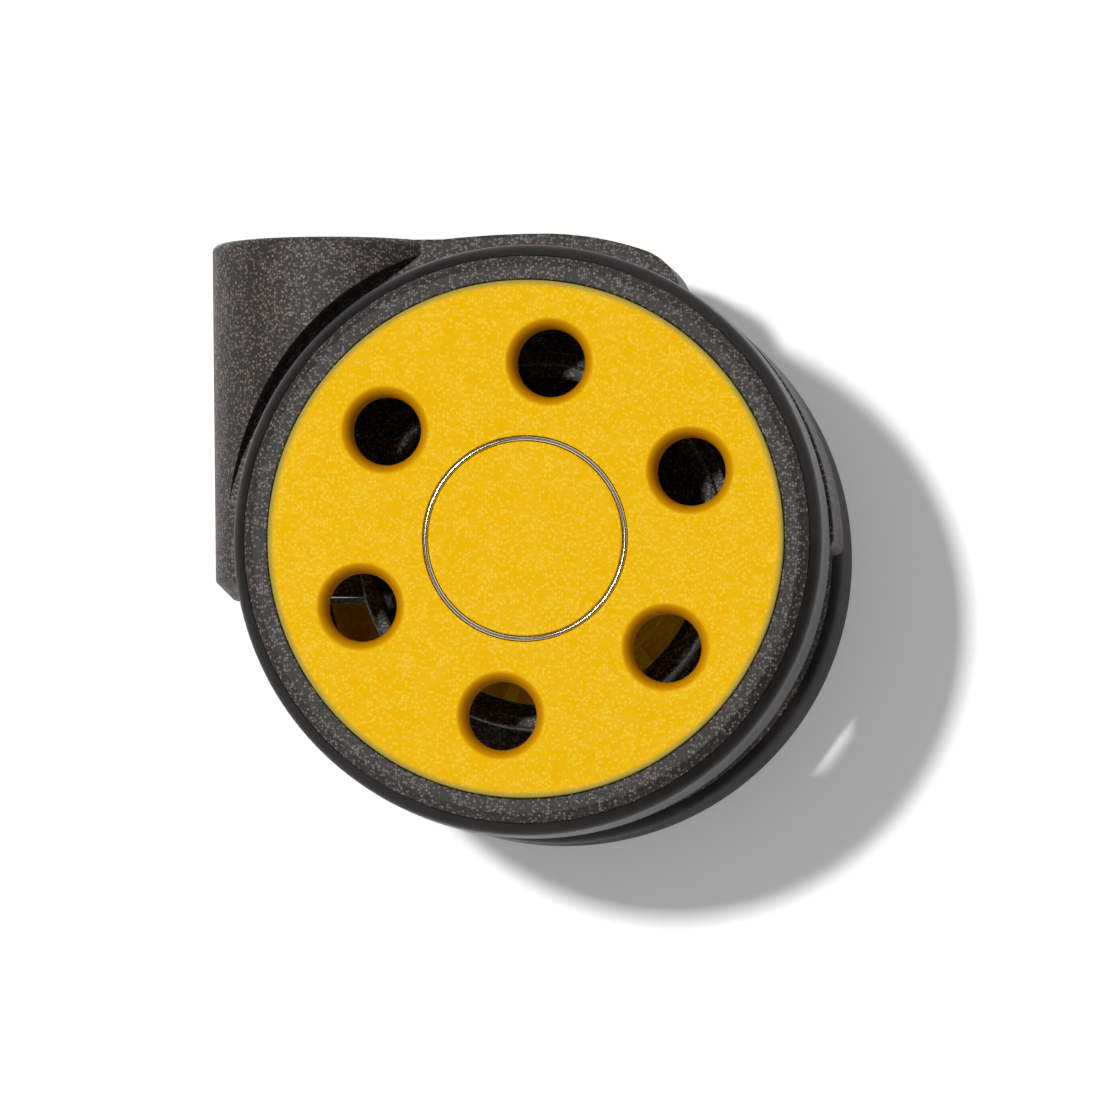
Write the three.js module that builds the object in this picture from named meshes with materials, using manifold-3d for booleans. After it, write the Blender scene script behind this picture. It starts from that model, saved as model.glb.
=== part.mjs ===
// A twin-wheel swivel caster for an office chair, in millimetres, +Z up.
// The origin is the middle of the stem socket's mouth, on the swivel axis. The axle runs along Y,
// at a trail of swivelOffset towards +X, and the near wheel is the one at -Y.

import * as THREE from "three";
import { mergeVertices } from "three/addons/utils/BufferGeometryUtils.js";
import Module from "manifold-3d";

const wasm = await Module();
wasm.setup();

// Fits
const fit = 0.3; // between two pieces, one inside the other
const press = 0.15; // between the axle and what is pressed on it
const endFloat = 0.3; // play of a wheel along the axle

// Stem socket and swivel
const stemDiameter = 11.1;
const sleeveWall = 0.6;
const sleeveFlangeWidth = 2.9;
const sleeveFlangeThickness = 1;
const rolledEndWidth = 0.75;
const rolledEndThickness = 0.7;
const sleeveRecess = 0.5; // the rolled end stays above the barrel's mouth by this much
const bushWall = 0.9;
const upperBushLength = 6.5;
const upperBushFlangeThickness = 0.8;
const lowerBushLength = 3;
const retainingWasherThickness = 0.6;

// Barrel
const barrelDiameter = 26;
const barrelLength = 38.8;
const barrelDraft = 0.44; // how much smaller the radius is at the bottom
const barrelTopEdge = 0.8;
const barrelBottomChamfer = 2;
const coreWall = 0.95; // around the lower bush, between the wheels
const coreToWheel = 1; // from the core to a wheel's inner face

// Wheels
const wheelDiameter = 63.5;
const wheelWidth = 15.4;
const swivelOffset = 23.8; // trail: from the swivel axis to the axle
const treadSide = 1.45; // radial width of the tread as the side shows it
const treadCrown = 0.15;
const treadShoulder = 3;
const rimFlangeWidth = 2.6;
const rimFlangeChamfer = 0.8; // the tread's sides start where it ends
const rimFlangeThickness = 1.8;
const rimWall = 1.4;
const rimInset = 0.35; // the rim's face lies this far behind the disc's
const discThickness = 3;
const discEdge = 0.4;
const skirtWall = 1.8;
const holeCount = 6;
const holeDiameter = 7.3;
const holeLip = 1.05; // how far the rounded mouth of a hole spreads
const holeLipDepth = 2.6;
const holePhase = 7.85; // degrees from the top, clockwise on the near wheel
const ribThickness = 1.4;
const ribHeight = 2; // behind the disc's plate

// Hub
const axleDiameter = 6;
const axleOverhang = 0.8; // beyond the push nut
const axleChamfer = 0.4;
const hubBushWall = 1.2;
const hubBushFlangeWidth = 2;
const hubBushFlangeThickness = 0.7;
const hubWall = 3;
const thrustWasherThickness = 0.8;
const pushNutThickness = 0.6;
const pushNutWidth = 3;
const pushNutStandoff = 0.3;
const capDiameter = 20.3;
const capPlate = 1.4;
const capWall = 1.5;
const capEdge = 0.25;
const trimRingWall = 0.5;
const trimRingFlange = 0.5;
const pocketDepth = 4.4;
const pocketWall = 1.5;

// Hood
const hoodToWheel = 2.1; // from the hood's side to a wheel's inner face
const hoodRise = 2.3; // how far the hood's arc stands above the wheels
const crownRise = 0.55; // how far the arc stands above the barrel's top
const wellClearance = 2.65; // around each wheel, cut into the barrel
const hoopWidth = 1.65;
const hoopProud = 1.1;
const hoopFlange = 0.6;
const webThickness = 4;
const pocketWebThickness = 7;
const hoodWall = 2.5;
const hoodHubWall = 3.2;
const hubToWheelFace = 0.7; // the hood's hub ends this far short of a wheel's inner face
const arcEnd = 71; // degrees above the axle's level, where the arc ends
const cornerEnd = 62;
const cornerPull = [0.75, 0.27]; // where the corner's curve is pulled to, as shares of its run and drop
const fenderStart = 59.5;
const fenderEnd = 1.5;
const fenderDrop = 0.4;
const fenderRounding = 1.5;
const pocketAngles = [[4, 38], [42, 73], [77, 112]];
const windowAngles = [[-58, -14], [-120, -92]];
const windowRim = 1.3; // between the windows and the hoop
const skirtAngles = [-140, 0]; // where the web reaches further past the hoop
const skirtWidth = 3.5;

// Numbers of flats on round pieces
const wheelFlats = 40;
const barrelFlats = 40;
const socketFlats = 32;
const smallFlats = 24;
const holeFlats = 20;
const pocketFlats = 6;

// How far a cutting tool, or a piece that is joined on, reaches past the face that it meets
const overshoot = 1;

// Worked out from the sizes above
const sleeveBore = stemDiameter / 2;
const sleeveRadius = sleeveBore + sleeveWall;
const swivelBore = sleeveRadius + fit;
const bushRadius = swivelBore + bushWall;
const coreRadius = bushRadius + fit + coreWall;
const sleeveFlangeRadius = sleeveRadius + sleeveFlangeWidth;
const wheelInner = coreRadius + coreToWheel;
const wheelOuter = wheelInner + wheelWidth;
const hoodHalf = wheelInner - hoodToWheel;
const hoodHubHalf = wheelInner - hubToWheelFace;
const wheelRadius = wheelDiameter / 2;
const barrelRadius = barrelDiameter / 2;
const hoodRadius = wheelRadius + hoodRise;
const axleDrop = hoodRadius - crownRise;
const axleRadius = axleDiameter / 2;
const trimRingRadius = capDiameter / 2 + fit + trimRingWall;
const pocketRadius = trimRingRadius + fit;
const pocketFloor = wheelOuter - pocketDepth;
const flangeRadius = wheelRadius - treadSide;
const discRadius = flangeRadius - rimFlangeWidth - fit;
const pitchRadius = (trimRingRadius + discRadius - discEdge) / 2;
const hubInner = hoodHubHalf + thrustWasherThickness + endFloat + hubBushFlangeThickness;
const axleHalf = pocketFloor + pushNutStandoff + pushNutThickness + axleOverhang;

const black = { color: 0x3c3734, roughness: 0.6, metalness: 0 };
const rubber = { color: 0x1e1c1b, roughness: 0.45, metalness: 0 };
const yellow = { color: 0xf3c000, roughness: 0.5, metalness: 0 };
const steel = { color: 0xb4b6b8, roughness: 0.35, metalness: 1 };
const chrome = { color: 0xe6e6e6, roughness: 0.12, metalness: 1 };
const acetal = { color: 0xe4e0d4, roughness: 0.5, metalness: 0 };

const radians = THREE.MathUtils.degToRad;

// A closed three.js geometry as a solid that can be joined and cut.
function toSolid(geometry) {
  geometry.deleteAttribute("normal");
  geometry.deleteAttribute("uv");
  const merged = mergeVertices(geometry, 1e-4);
  const index = merged.index.array;
  const triangles = [];
  for (let i = 0; i < index.length; i += 3) {
    const [a, b, c] = [index[i], index[i + 1], index[i + 2]];
    if (a !== b && b !== c && c !== a) {
      triangles.push(a, b, c);
    }
  }
  const mesh = new wasm.Mesh({
    numProp: 3,
    vertProperties: merged.attributes.position.array,
    triVerts: new Uint32Array(triangles),
  });
  return new wasm.Manifold(mesh);
}

// A solid of revolution about Y. The profile is a list of [radius, height] points, anticlockwise
// with the radius to the right and the height up; it closes on itself or starts and ends on the axis.
function turned(profile, flats) {
  const points = profile.map(([radius, height]) => new THREE.Vector2(radius, height));
  const onAxis = profile[0][0] === 0 && profile[profile.length - 1][0] === 0;
  if (!onAxis) {
    points.push(points[0].clone());
  }
  return toSolid(new THREE.LatheGeometry(points, flats));
}

// The same, with the axis turned to Z.
function turnedUpright(profile, flats) {
  return turned(profile, flats).rotate([90, 0, 0]);
}

function tubeProfile(inner, outer, low, high) {
  return [[inner, low], [outer, low], [outer, high], [inner, high]];
}

function rodProfile(radius, low, high) {
  return [[0, low], [radius, low], [radius, high], [0, high]];
}

// An outline in the plane of the wheels, with X to the right and Z up, made a plate from low to
// high along Y.
function plate(shape, low, high, curveSegments = 12) {
  const options = { depth: high - low, bevelEnabled: false, curveSegments };
  const geometry = new THREE.ExtrudeGeometry(shape, options);
  geometry.rotateX(Math.PI / 2);
  geometry.translate(0, high, 0);
  return toSolid(geometry);
}

// A piece of a ring between two angles, as an outline.
function ringSector(inner, outer, from, to) {
  const shape = new THREE.Shape();
  shape.absarc(0, 0, outer, radians(from), radians(to), false);
  shape.absarc(0, 0, inner, radians(to), radians(from), true);
  shape.closePath();
  return shape;
}

function atAxle(solid) {
  return solid.translate([swivelOffset, 0, -axleDrop]);
}

function joined(solids) {
  return solids.reduce((whole, solid) => whole.add(solid));
}

function meshOf(name, solid, look) {
  const { vertProperties, triVerts } = solid.getMesh();
  const geometry = new THREE.BufferGeometry();
  geometry.setAttribute("position", new THREE.BufferAttribute(vertProperties, 3));
  geometry.setIndex(new THREE.BufferAttribute(triVerts, 1));
  geometry.computeVertexNormals();
  const mesh = new THREE.Mesh(geometry, new THREE.MeshStandardMaterial(look));
  mesh.name = name;
  return mesh;
}

// ---- The stem socket and the swivel ----

const rolledEndTop = sleeveRecess + rolledEndThickness - barrelLength;
const washerTop = rolledEndTop + retainingWasherThickness;
const lowerBushBottom = washerTop + fit;
const lowerBushTop = lowerBushBottom + lowerBushLength;
const upperBushTop = -sleeveFlangeThickness;
const upperFlangeBottom = upperBushTop - upperBushFlangeThickness;
const upperBushBottom = upperFlangeBottom - upperBushLength;
const upperFlangeRadius = sleeveFlangeRadius;

function stemSleeve() {
  const bottom = sleeveRecess - barrelLength;
  return turnedUpright([
    [sleeveBore, bottom],
    [sleeveRadius + rolledEndWidth, bottom],
    [sleeveRadius + rolledEndWidth, rolledEndTop],
    [sleeveRadius, rolledEndTop],
    [sleeveRadius, -sleeveFlangeThickness],
    [sleeveFlangeRadius, -sleeveFlangeThickness],
    [sleeveFlangeRadius, 0],
    [sleeveBore, 0],
  ], socketFlats);
}

function upperSwivelBush() {
  return turnedUpright([
    [swivelBore, upperBushBottom],
    [bushRadius, upperBushBottom],
    [bushRadius, upperFlangeBottom],
    [upperFlangeRadius, upperFlangeBottom],
    [upperFlangeRadius, upperBushTop],
    [swivelBore, upperBushTop],
  ], socketFlats);
}

function lowerSwivelBush() {
  return turnedUpright(tubeProfile(swivelBore, bushRadius, lowerBushBottom, lowerBushTop), socketFlats);
}

function retainingWasher() {
  return turnedUpright(tubeProfile(swivelBore, bushRadius, rolledEndTop, washerTop), socketFlats);
}

// The bore through the barrel: it steps out for each bush and for the two flanges.
function swivelBoreTool() {
  const seat = bushRadius + fit;
  return turnedUpright([
    [0, -barrelLength - overshoot],
    [seat, -barrelLength - overshoot],
    [seat, lowerBushTop],
    [swivelBore, lowerBushTop],
    [swivelBore, upperBushBottom],
    [seat, upperBushBottom],
    [seat, upperFlangeBottom],
    [upperFlangeRadius + fit, upperFlangeBottom],
    [upperFlangeRadius + fit, overshoot],
    [0, overshoot],
  ], socketFlats);
}

// ---- The hood ----

function hoodOutline() {
  const at = (radius, angle) => [radius * Math.cos(radians(angle)), radius * Math.sin(radians(angle))];
  const crownStart = barrelRadius - swivelOffset;
  const [cornerX, cornerZ] = at(wheelRadius + crownRise / 2, cornerEnd);
  const [arcEndX, arcEndZ] = at(hoodRadius, arcEnd);
  const shape = new THREE.Shape();
  shape.moveTo(-swivelOffset, axleDrop);
  shape.lineTo(crownStart, axleDrop);
  shape.quadraticCurveTo(crownStart / 2, hoodRadius, 0, hoodRadius);
  shape.absarc(0, 0, hoodRadius, Math.PI / 2, radians(arcEnd), true);
  shape.quadraticCurveTo(
    arcEndX + (cornerX - arcEndX) * cornerPull[0],
    arcEndZ - (arcEndZ - cornerZ) * cornerPull[1],
    cornerX,
    cornerZ,
  );
  shape.absarc(0, 0, wheelRadius, radians(fenderStart), radians(fenderEnd), true);
  shape.quadraticCurveTo(wheelRadius, -fenderDrop, wheelRadius - fenderRounding, -fenderDrop);
  shape.lineTo(0, -fenderDrop);
  shape.lineTo(-swivelOffset, -fenderDrop);
  shape.closePath();
  return shape;
}

function barrel() {
  const bottomRadius = barrelRadius - barrelDraft;
  const topMiddle = barrelTopEdge * (1 - Math.SQRT1_2);
  const body = turnedUpright([
    [0, -barrelLength],
    [bottomRadius - barrelBottomChamfer, -barrelLength],
    [bottomRadius, barrelBottomChamfer - barrelLength],
    [barrelRadius, -barrelTopEdge],
    [barrelRadius - topMiddle, -topMiddle],
    [barrelRadius - barrelTopEdge, 0],
    [0, 0],
  ], barrelFlats);
  const wells = [-1, 1].map((side) => {
    const reach = side * (barrelRadius + overshoot);
    const [low, high] = [side * hoodHalf, reach].sort((a, b) => a - b);
    return atAxle(turned(rodProfile(wheelRadius + wellClearance, low, high), barrelFlats));
  });
  return wells.reduce((rest, well) => rest.subtract(well), body);
}

function hood() {
  const hoopInner = pitchRadius - hoopWidth / 2;
  const hoopOuter = pitchRadius + hoopWidth / 2;
  const hubRadius = axleRadius + press + hoodHubWall;
  const webHalf = webThickness / 2;
  const slab = atAxle(plate(hoodOutline(), -hoodHalf, hoodHalf));

  const recesses = [];
  for (const [low, high] of [[-hoodHalf - overshoot, -webHalf], [webHalf, hoodHalf + overshoot]]) {
    recesses.push(turned(rodProfile(hoopInner, low, high), barrelFlats));
  }
  const pocketHalf = pocketWebThickness / 2;
  for (const [from, to] of pocketAngles) {
    const sector = ringSector(hoopOuter + hoodWall / 2, wheelRadius - hoodWall, from, to);
    recesses.push(plate(sector, -hoodHalf - overshoot, -pocketHalf, pocketFlats));
    recesses.push(plate(sector, pocketHalf, hoodHalf + overshoot, pocketFlats));
  }
  const outer = slab.add(barrel()).subtract(atAxle(joined(recesses)));

  const hoopHalf = hoodHalf + hoopProud;
  const web = turned(rodProfile(hoopOuter + hoopFlange, -webHalf, webHalf), barrelFlats);
  const hoop = turned(tubeProfile(hoopInner, hoopOuter, -hoopHalf, hoopHalf), barrelFlats);
  const hub = turned(rodProfile(hubRadius, -hoodHubHalf, hoodHubHalf), smallFlats);
  const windows = windowAngles.map(([from, to]) => {
    const sector = ringSector(hubRadius + hoodWall / 2, hoopInner - windowRim, from, to);
    return plate(sector, -webHalf - overshoot, webHalf + overshoot, pocketFlats);
  });
  const skirt = plate(ringSector(hoopInner, hoopOuter + skirtWidth, ...skirtAngles), -webHalf, webHalf);
  const centre = web.subtract(joined(windows)).add(skirt).add(hoop).add(hub);

  const coreProfile = rodProfile(coreRadius, barrelBottomChamfer - barrelLength, -axleDrop / 2);
  const core = turnedUpright(coreProfile, barrelFlats);
  const boreHalf = hoodHubHalf + overshoot;
  const axleBore = turned(rodProfile(axleRadius + press, -boreHalf, boreHalf), smallFlats);
  const whole = outer.add(atAxle(centre)).add(core);
  return whole.subtract(swivelBoreTool()).subtract(atAxle(axleBore));
}

// ---- The axle and the wheels, about an axis along Y, with a wheel's outer face towards +Y ----

function axle() {
  return turned([
    [0, -axleHalf],
    [axleRadius - axleChamfer, -axleHalf],
    [axleRadius, axleChamfer - axleHalf],
    [axleRadius, axleHalf - axleChamfer],
    [axleRadius - axleChamfer, axleHalf],
    [0, axleHalf],
  ], smallFlats);
}

function thrustWasher() {
  const inner = axleRadius + press;
  const outer = inner + hoodHubWall;
  return turned(tubeProfile(inner, outer, hoodHubHalf, hoodHubHalf + thrustWasherThickness), smallFlats);
}

function pushNut() {
  const low = pocketFloor + pushNutStandoff;
  const inner = axleRadius + press;
  return turned(tubeProfile(inner, inner + pushNutWidth, low, low + pushNutThickness), smallFlats);
}

function hubBush() {
  const bore = axleRadius + fit;
  const radius = bore + hubBushWall;
  const flangeInner = hubInner - hubBushFlangeThickness;
  return turned([
    [bore, flangeInner],
    [radius + hubBushFlangeWidth, flangeInner],
    [radius + hubBushFlangeWidth, hubInner],
    [radius, hubInner],
    [radius, pocketFloor - press],
    [bore, pocketFloor - press],
  ], smallFlats);
}

// A hole through the disc: straight at the back, with a rounded mouth that has one point between
// its ends.
function holeTool() {
  const radius = holeDiameter / 2;
  const back = wheelOuter - discThickness - overshoot;
  const middle = 1 - Math.SQRT1_2;
  return turned([
    [0, back],
    [radius, back],
    [radius, wheelOuter - holeLipDepth],
    [radius + holeLip * middle, wheelOuter - holeLipDepth * middle],
    [radius + holeLip, wheelOuter],
    [radius + holeLip, wheelOuter + overshoot],
    [0, wheelOuter + overshoot],
  ], holeFlats);
}

function wheelDisc() {
  const hubBore = axleRadius + fit + hubBushWall + press;
  const cupRadius = pocketRadius + pocketWall;
  const plateBack = wheelOuter - discThickness;
  const skirtEnd = wheelInner + rimFlangeThickness + fit;
  const body = turned([
    [hubBore, hubInner],
    [hubBore + hubWall, hubInner],
    [hubBore + hubWall, pocketFloor - pocketWall],
    [cupRadius, pocketFloor - pocketWall],
    [cupRadius, plateBack],
    [discRadius - skirtWall, plateBack],
    [discRadius - skirtWall, skirtEnd],
    [discRadius, skirtEnd],
    [discRadius, wheelOuter - discEdge],
    [discRadius - discEdge, wheelOuter],
    [pocketRadius, wheelOuter],
    [pocketRadius, pocketFloor],
    [hubBore, pocketFloor],
  ], wheelFlats);
  const holes = [];
  const ribs = [];
  const step = 360 / holeCount;
  for (let i = 0; i < holeCount; i += 1) {
    const angle = 90 + holePhase + i * step;
    const hole = holeTool().translate([pitchRadius, 0, 0]);
    holes.push(hole.rotate([0, -angle, 0]));
    const run = discRadius - skirtWall - cupRadius + overshoot;
    const rib = new THREE.BoxGeometry(run, ribHeight + overshoot, ribThickness);
    rib.translate((discRadius - skirtWall + cupRadius) / 2, plateBack + (overshoot - ribHeight) / 2, 0);
    ribs.push(toSolid(rib).rotate([0, -angle - step / 2, 0]));
  }
  return body.add(joined(ribs)).subtract(joined(holes));
}

function rim() {
  const inner = discRadius + fit;
  const face = wheelOuter - rimInset;
  return turned([
    [discRadius - skirtWall, wheelInner],
    [flangeRadius - rimFlangeChamfer, wheelInner],
    [flangeRadius, wheelInner + rimFlangeChamfer],
    [flangeRadius, wheelInner + rimFlangeThickness],
    [inner + rimWall, wheelInner + rimFlangeThickness],
    [inner + rimWall, face - rimFlangeThickness],
    [flangeRadius, face - rimFlangeThickness],
    [flangeRadius, face - rimFlangeChamfer],
    [flangeRadius - rimFlangeChamfer, face],
    [inner, face],
    [inner, wheelInner + rimFlangeThickness],
    [discRadius - skirtWall, wheelInner + rimFlangeThickness],
  ], wheelFlats);
}

// The tread fills the groove between the rim's flanges and laps over their edges. Its shoulders
// carry the slope of the rim's chamfers on to the tread's slight crown.
function tread() {
  const groove = discRadius + 2 * fit + rimWall;
  const edge = flangeRadius + fit;
  const shoulderRadius = wheelRadius - treadCrown;
  const low = wheelInner + rimFlangeChamfer;
  const high = wheelOuter - rimInset - rimFlangeChamfer;
  const profile = [];
  const shoulder = (start, direction, turns) => {
    for (const turn of turns) {
      const rise = (Math.sin(radians(turn)) - Math.SQRT1_2) / (1 - Math.SQRT1_2);
      const run = 1 - Math.cos(radians(turn)) / Math.SQRT1_2;
      const radius = edge + (shoulderRadius - edge) * rise;
      profile.push([radius, start + direction * treadShoulder * run]);
    }
  };
  shoulder(low, 1, [45, 65, 90]);
  profile.push([wheelRadius, (low + high) / 2]);
  shoulder(high, -1, [90, 65, 45]);
  profile.push([edge, wheelOuter - rimInset - rimFlangeThickness]);
  profile.push([groove, wheelOuter - rimInset - rimFlangeThickness]);
  profile.push([groove, wheelInner + rimFlangeThickness]);
  profile.push([edge, wheelInner + rimFlangeThickness]);
  return turned(profile, wheelFlats);
}

function trimRing() {
  const inner = trimRingRadius - trimRingWall;
  return turned([
    [inner - capWall - fit, pocketFloor],
    [trimRingRadius, pocketFloor],
    [trimRingRadius, wheelOuter],
    [inner, wheelOuter],
    [inner, pocketFloor + trimRingFlange],
    [inner - capWall - fit, pocketFloor + trimRingFlange],
  ], socketFlats);
}

function centreCap() {
  const radius = capDiameter / 2;
  return turned([
    [0, wheelOuter - capPlate],
    [radius - capWall, wheelOuter - capPlate],
    [radius - capWall, pocketFloor + trimRingFlange],
    [radius, pocketFloor + trimRingFlange],
    [radius, wheelOuter - capEdge],
    [radius - capEdge, wheelOuter],
    [0, wheelOuter],
  ], socketFlats);
}

// ---- The assembly ----

const caster = new THREE.Group();
caster.add(
  meshOf("stem_sleeve", stemSleeve(), steel),
  meshOf("retaining_washer", retainingWasher(), steel),
  meshOf("upper_swivel_bush", upperSwivelBush(), acetal),
  meshOf("lower_swivel_bush", lowerSwivelBush(), acetal),
  meshOf("hood", hood(), black),
);

const axleLine = new THREE.Group();
axleLine.position.set(swivelOffset, 0, -axleDrop);
axleLine.add(meshOf("axle", axle(), steel));
caster.add(axleLine);

// The near wheel's group is turned half round the upright, so that its outer face looks towards -Y.
for (const [side, turn] of [["near", Math.PI], ["far", 0]]) {
  const wheel = new THREE.Group();
  wheel.rotation.z = turn;
  wheel.add(
    meshOf(`${side}_thrust_washer`, thrustWasher(), acetal),
    meshOf(`${side}_push_nut`, pushNut(), steel),
    meshOf(`${side}_hub_bush`, hubBush(), acetal),
    meshOf(`${side}_wheel_disc`, wheelDisc(), yellow),
    meshOf(`${side}_rim`, rim(), black),
    meshOf(`${side}_tread`, tread(), rubber),
    meshOf(`${side}_trim_ring`, trimRing(), chrome),
    meshOf(`${side}_centre_cap`, centreCap(), yellow),
  );
  axleLine.add(wheel);
}

export default caster;
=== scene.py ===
"""Finish of a twin-wheel swivel caster: fine shapes, moulded and metal finishes, and a plain stage."""

import math

import bpy
from bpy.props import FloatProperty, FloatVectorProperty, IntProperty, PointerProperty
from mathutils import Matrix, Vector


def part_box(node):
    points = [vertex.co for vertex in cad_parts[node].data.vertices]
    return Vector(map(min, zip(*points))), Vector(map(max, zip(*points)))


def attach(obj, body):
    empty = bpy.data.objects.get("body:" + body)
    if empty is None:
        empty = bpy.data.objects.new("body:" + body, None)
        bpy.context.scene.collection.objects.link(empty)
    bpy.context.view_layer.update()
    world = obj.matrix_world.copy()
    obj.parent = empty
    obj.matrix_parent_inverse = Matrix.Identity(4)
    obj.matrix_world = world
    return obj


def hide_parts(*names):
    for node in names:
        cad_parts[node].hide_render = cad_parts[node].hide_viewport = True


bl_info = {
    "name": "Swivel caster finish",
    "version": (1, 0, 0),
    "blender": (4, 5, 0),
    "location": "3D View > Sidebar > Caster",
    "description": "Gives a twin-wheel swivel caster its fine shapes, finishes and stage",
    "category": "Object",
}

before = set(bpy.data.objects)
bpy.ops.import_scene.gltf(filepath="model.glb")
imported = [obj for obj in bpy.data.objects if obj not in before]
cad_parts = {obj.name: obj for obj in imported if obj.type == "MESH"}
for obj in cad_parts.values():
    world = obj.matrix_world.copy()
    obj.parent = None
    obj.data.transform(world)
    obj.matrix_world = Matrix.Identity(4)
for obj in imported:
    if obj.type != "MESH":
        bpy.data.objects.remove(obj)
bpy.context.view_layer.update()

# The frame's own boxes give the places and the outer sizes.
TREAD_LOW, TREAD_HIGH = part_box("near_tread")
DISC_LOW, DISC_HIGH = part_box("near_wheel_disc")
RIM_LOW, RIM_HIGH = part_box("near_rim")
RING_LOW, RING_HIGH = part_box("near_trim_ring")
NUT_LOW, NUT_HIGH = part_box("near_push_nut")
THRUST_LOW, THRUST_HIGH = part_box("near_thrust_washer")
BUSH_LOW, BUSH_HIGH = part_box("near_hub_bush")
AXLE_LOW, AXLE_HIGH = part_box("axle")
HOOD_LOW, HOOD_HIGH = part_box("hood")
SLEEVE_LOW, SLEEVE_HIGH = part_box("stem_sleeve")
UPPER_LOW, UPPER_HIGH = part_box("upper_swivel_bush")
LOWER_LOW, LOWER_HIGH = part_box("lower_swivel_bush")
WASHER_LOW, WASHER_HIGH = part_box("retaining_washer")

AXLE_X = (TREAD_LOW.x + TREAD_HIGH.x) / 2
AXLE_Z = (TREAD_LOW.z + TREAD_HIGH.z) / 2
WHEEL_RADIUS = (TREAD_HIGH.z - TREAD_LOW.z) / 2
DISC_RADIUS = (DISC_HIGH.z - DISC_LOW.z) / 2
FLANGE_RADIUS = (RIM_HIGH.z - RIM_LOW.z) / 2
RING_RADIUS = (RING_HIGH.z - RING_LOW.z) / 2
AXLE_RADIUS = (AXLE_HIGH.z - AXLE_LOW.z) / 2
BARREL_RADIUS = -HOOD_LOW.x
RUNNING_GAP = 0.0003  # between two pieces, one inside the other
SEAT_RADIUS = DISC_RADIUS + RUNNING_GAP  # the rim's bore, which holds the disc
SIDES = ("near", "far")

# How far a cutter, or a piece that is joined on, reaches past the face that it meets
PAST = 0.001
HAIR = 0.00002  # a gap too thin to see

# How the turning tree works
SWING = 0.01  # radius of the circle that a profile is carried round
CREASE = math.radians(28)
NO_CREASE = 3.2  # an angle that no edge reaches
TURNED_FLATS = 96
HOLE_FLATS = 72
SOCKET_FLATS = 128
HOOD_FLATS = 160

# The hood's openings, in degrees above the axle's level, and the pull of its corner's curve as
# shares of the corner's run and drop
POCKET_ANGLES = ((4, 38), (42, 73), (77, 112))
WINDOW_ANGLES = ((-58, -14), (-120, -92))
CORNER_PULL = (0.75, 0.27)
FENDER_ROUNDING = 0.0015

# The stage: which way the light travels, where the lamp behind stands, and where the camera aims
KEY_TRAVEL = Vector((0.24, 1.0, -0.147)).normalized()
BACK_SIDE = Vector((-0.35, 1.0, 0.35)).normalized()
AIM = Vector((AXLE_X + 0.0027, DISC_LOW.y, AXLE_Z - 0.00125))
BACK_LAMP_SIZE = 0.4
FLOOR_GAP = 0.0006  # between the disc's face and the floor
FLOOR_REACH = 1.2


# ---- Sizes and colours that can be changed ----


def length(name, description, default):
    return FloatProperty(name=name, description=description, default=default, unit="LENGTH", precision=5)


def angle(name, description, degrees):
    return FloatProperty(
        name=name, description=description, default=math.radians(degrees), unit="ROTATION"
    )


def colour(name, description, default):
    return FloatVectorProperty(
        name=name, description=description, default=default, size=3, min=0, max=1, subtype="COLOR"
    )


def share(name, description, default):
    return FloatProperty(
        name=name, description=description, default=default, min=0, max=1, subtype="FACTOR"
    )


def brightness(name, description, default):
    return FloatProperty(name=name, description=description, default=default, min=0)


class CasterWheelSizes(bpy.types.PropertyGroup):
    """Sizes of the two wheels, from the middle plane outwards."""

    flats: IntProperty(name="Flats", description="Flats around a wheel", default=192, min=24)
    disc_edge: length("Disc edge", "Rounding of the disc's outer edge", 0.00025)
    disc_thickness: length("Disc thickness", "Thickness of the disc's plate", 0.003)
    skirt_wall: length("Skirt wall", "Wall of the disc's skirt", 0.0018)
    hub_wall: length("Hub wall", "Wall of the disc's hub", 0.003)
    cup_wall: length("Cup wall", "Wall of the cup behind the cap", 0.0015)
    cup_depth: length("Cup depth", "Depth of the cup that holds the cap", 0.0044)
    hole_count: IntProperty(name="Holes", description="Holes through a disc", default=6, min=1)
    hole_radius: length("Hole radius", "Radius of the straight part of a hole", 0.00365)
    hole_lip: length("Hole lip", "How far a hole's rounded mouth spreads", 0.00105)
    hole_lip_depth: length("Hole lip depth", "How deep the rounded mouth goes", 0.0026)
    hole_pitch: length("Hole pitch", "Radius of the ring of holes", (RING_RADIUS + DISC_RADIUS) / 2 - 0.00015)
    hole_phase: angle("Hole phase", "Angle of the first hole from the top", 7.85)
    rib_thickness: length("Rib thickness", "Thickness of a rib behind the disc", 0.0014)
    rib_height: length("Rib height", "Height of a rib behind the disc", 0.002)
    rim_wall: length("Rim wall", "Wall of the rim's barrel", 0.0014)
    rim_flange: length("Rim flange", "Thickness of the rim's flanges", 0.0018)
    rim_rounding: length("Rim rounding", "How far the rim's rounded edge reaches along the axle", 0.0008)
    tread_crown: length("Tread crown", "How much the tread rises in the middle", 0.00015)
    tread_shoulder: length("Tread shoulder", "Width of the tread's rounded shoulder", 0.0017)
    joint_line: length("Joint line", "Gap that shows between pressed pieces", 0.00006)
    ring_width: length("Ring width", "Width of the bright ring around the cap", 0.0005)
    cap_plate: length("Cap plate", "Thickness of the cap's plate", 0.0014)
    cap_wall: length("Cap wall", "Wall of the cap's skirt", 0.0015)


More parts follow.
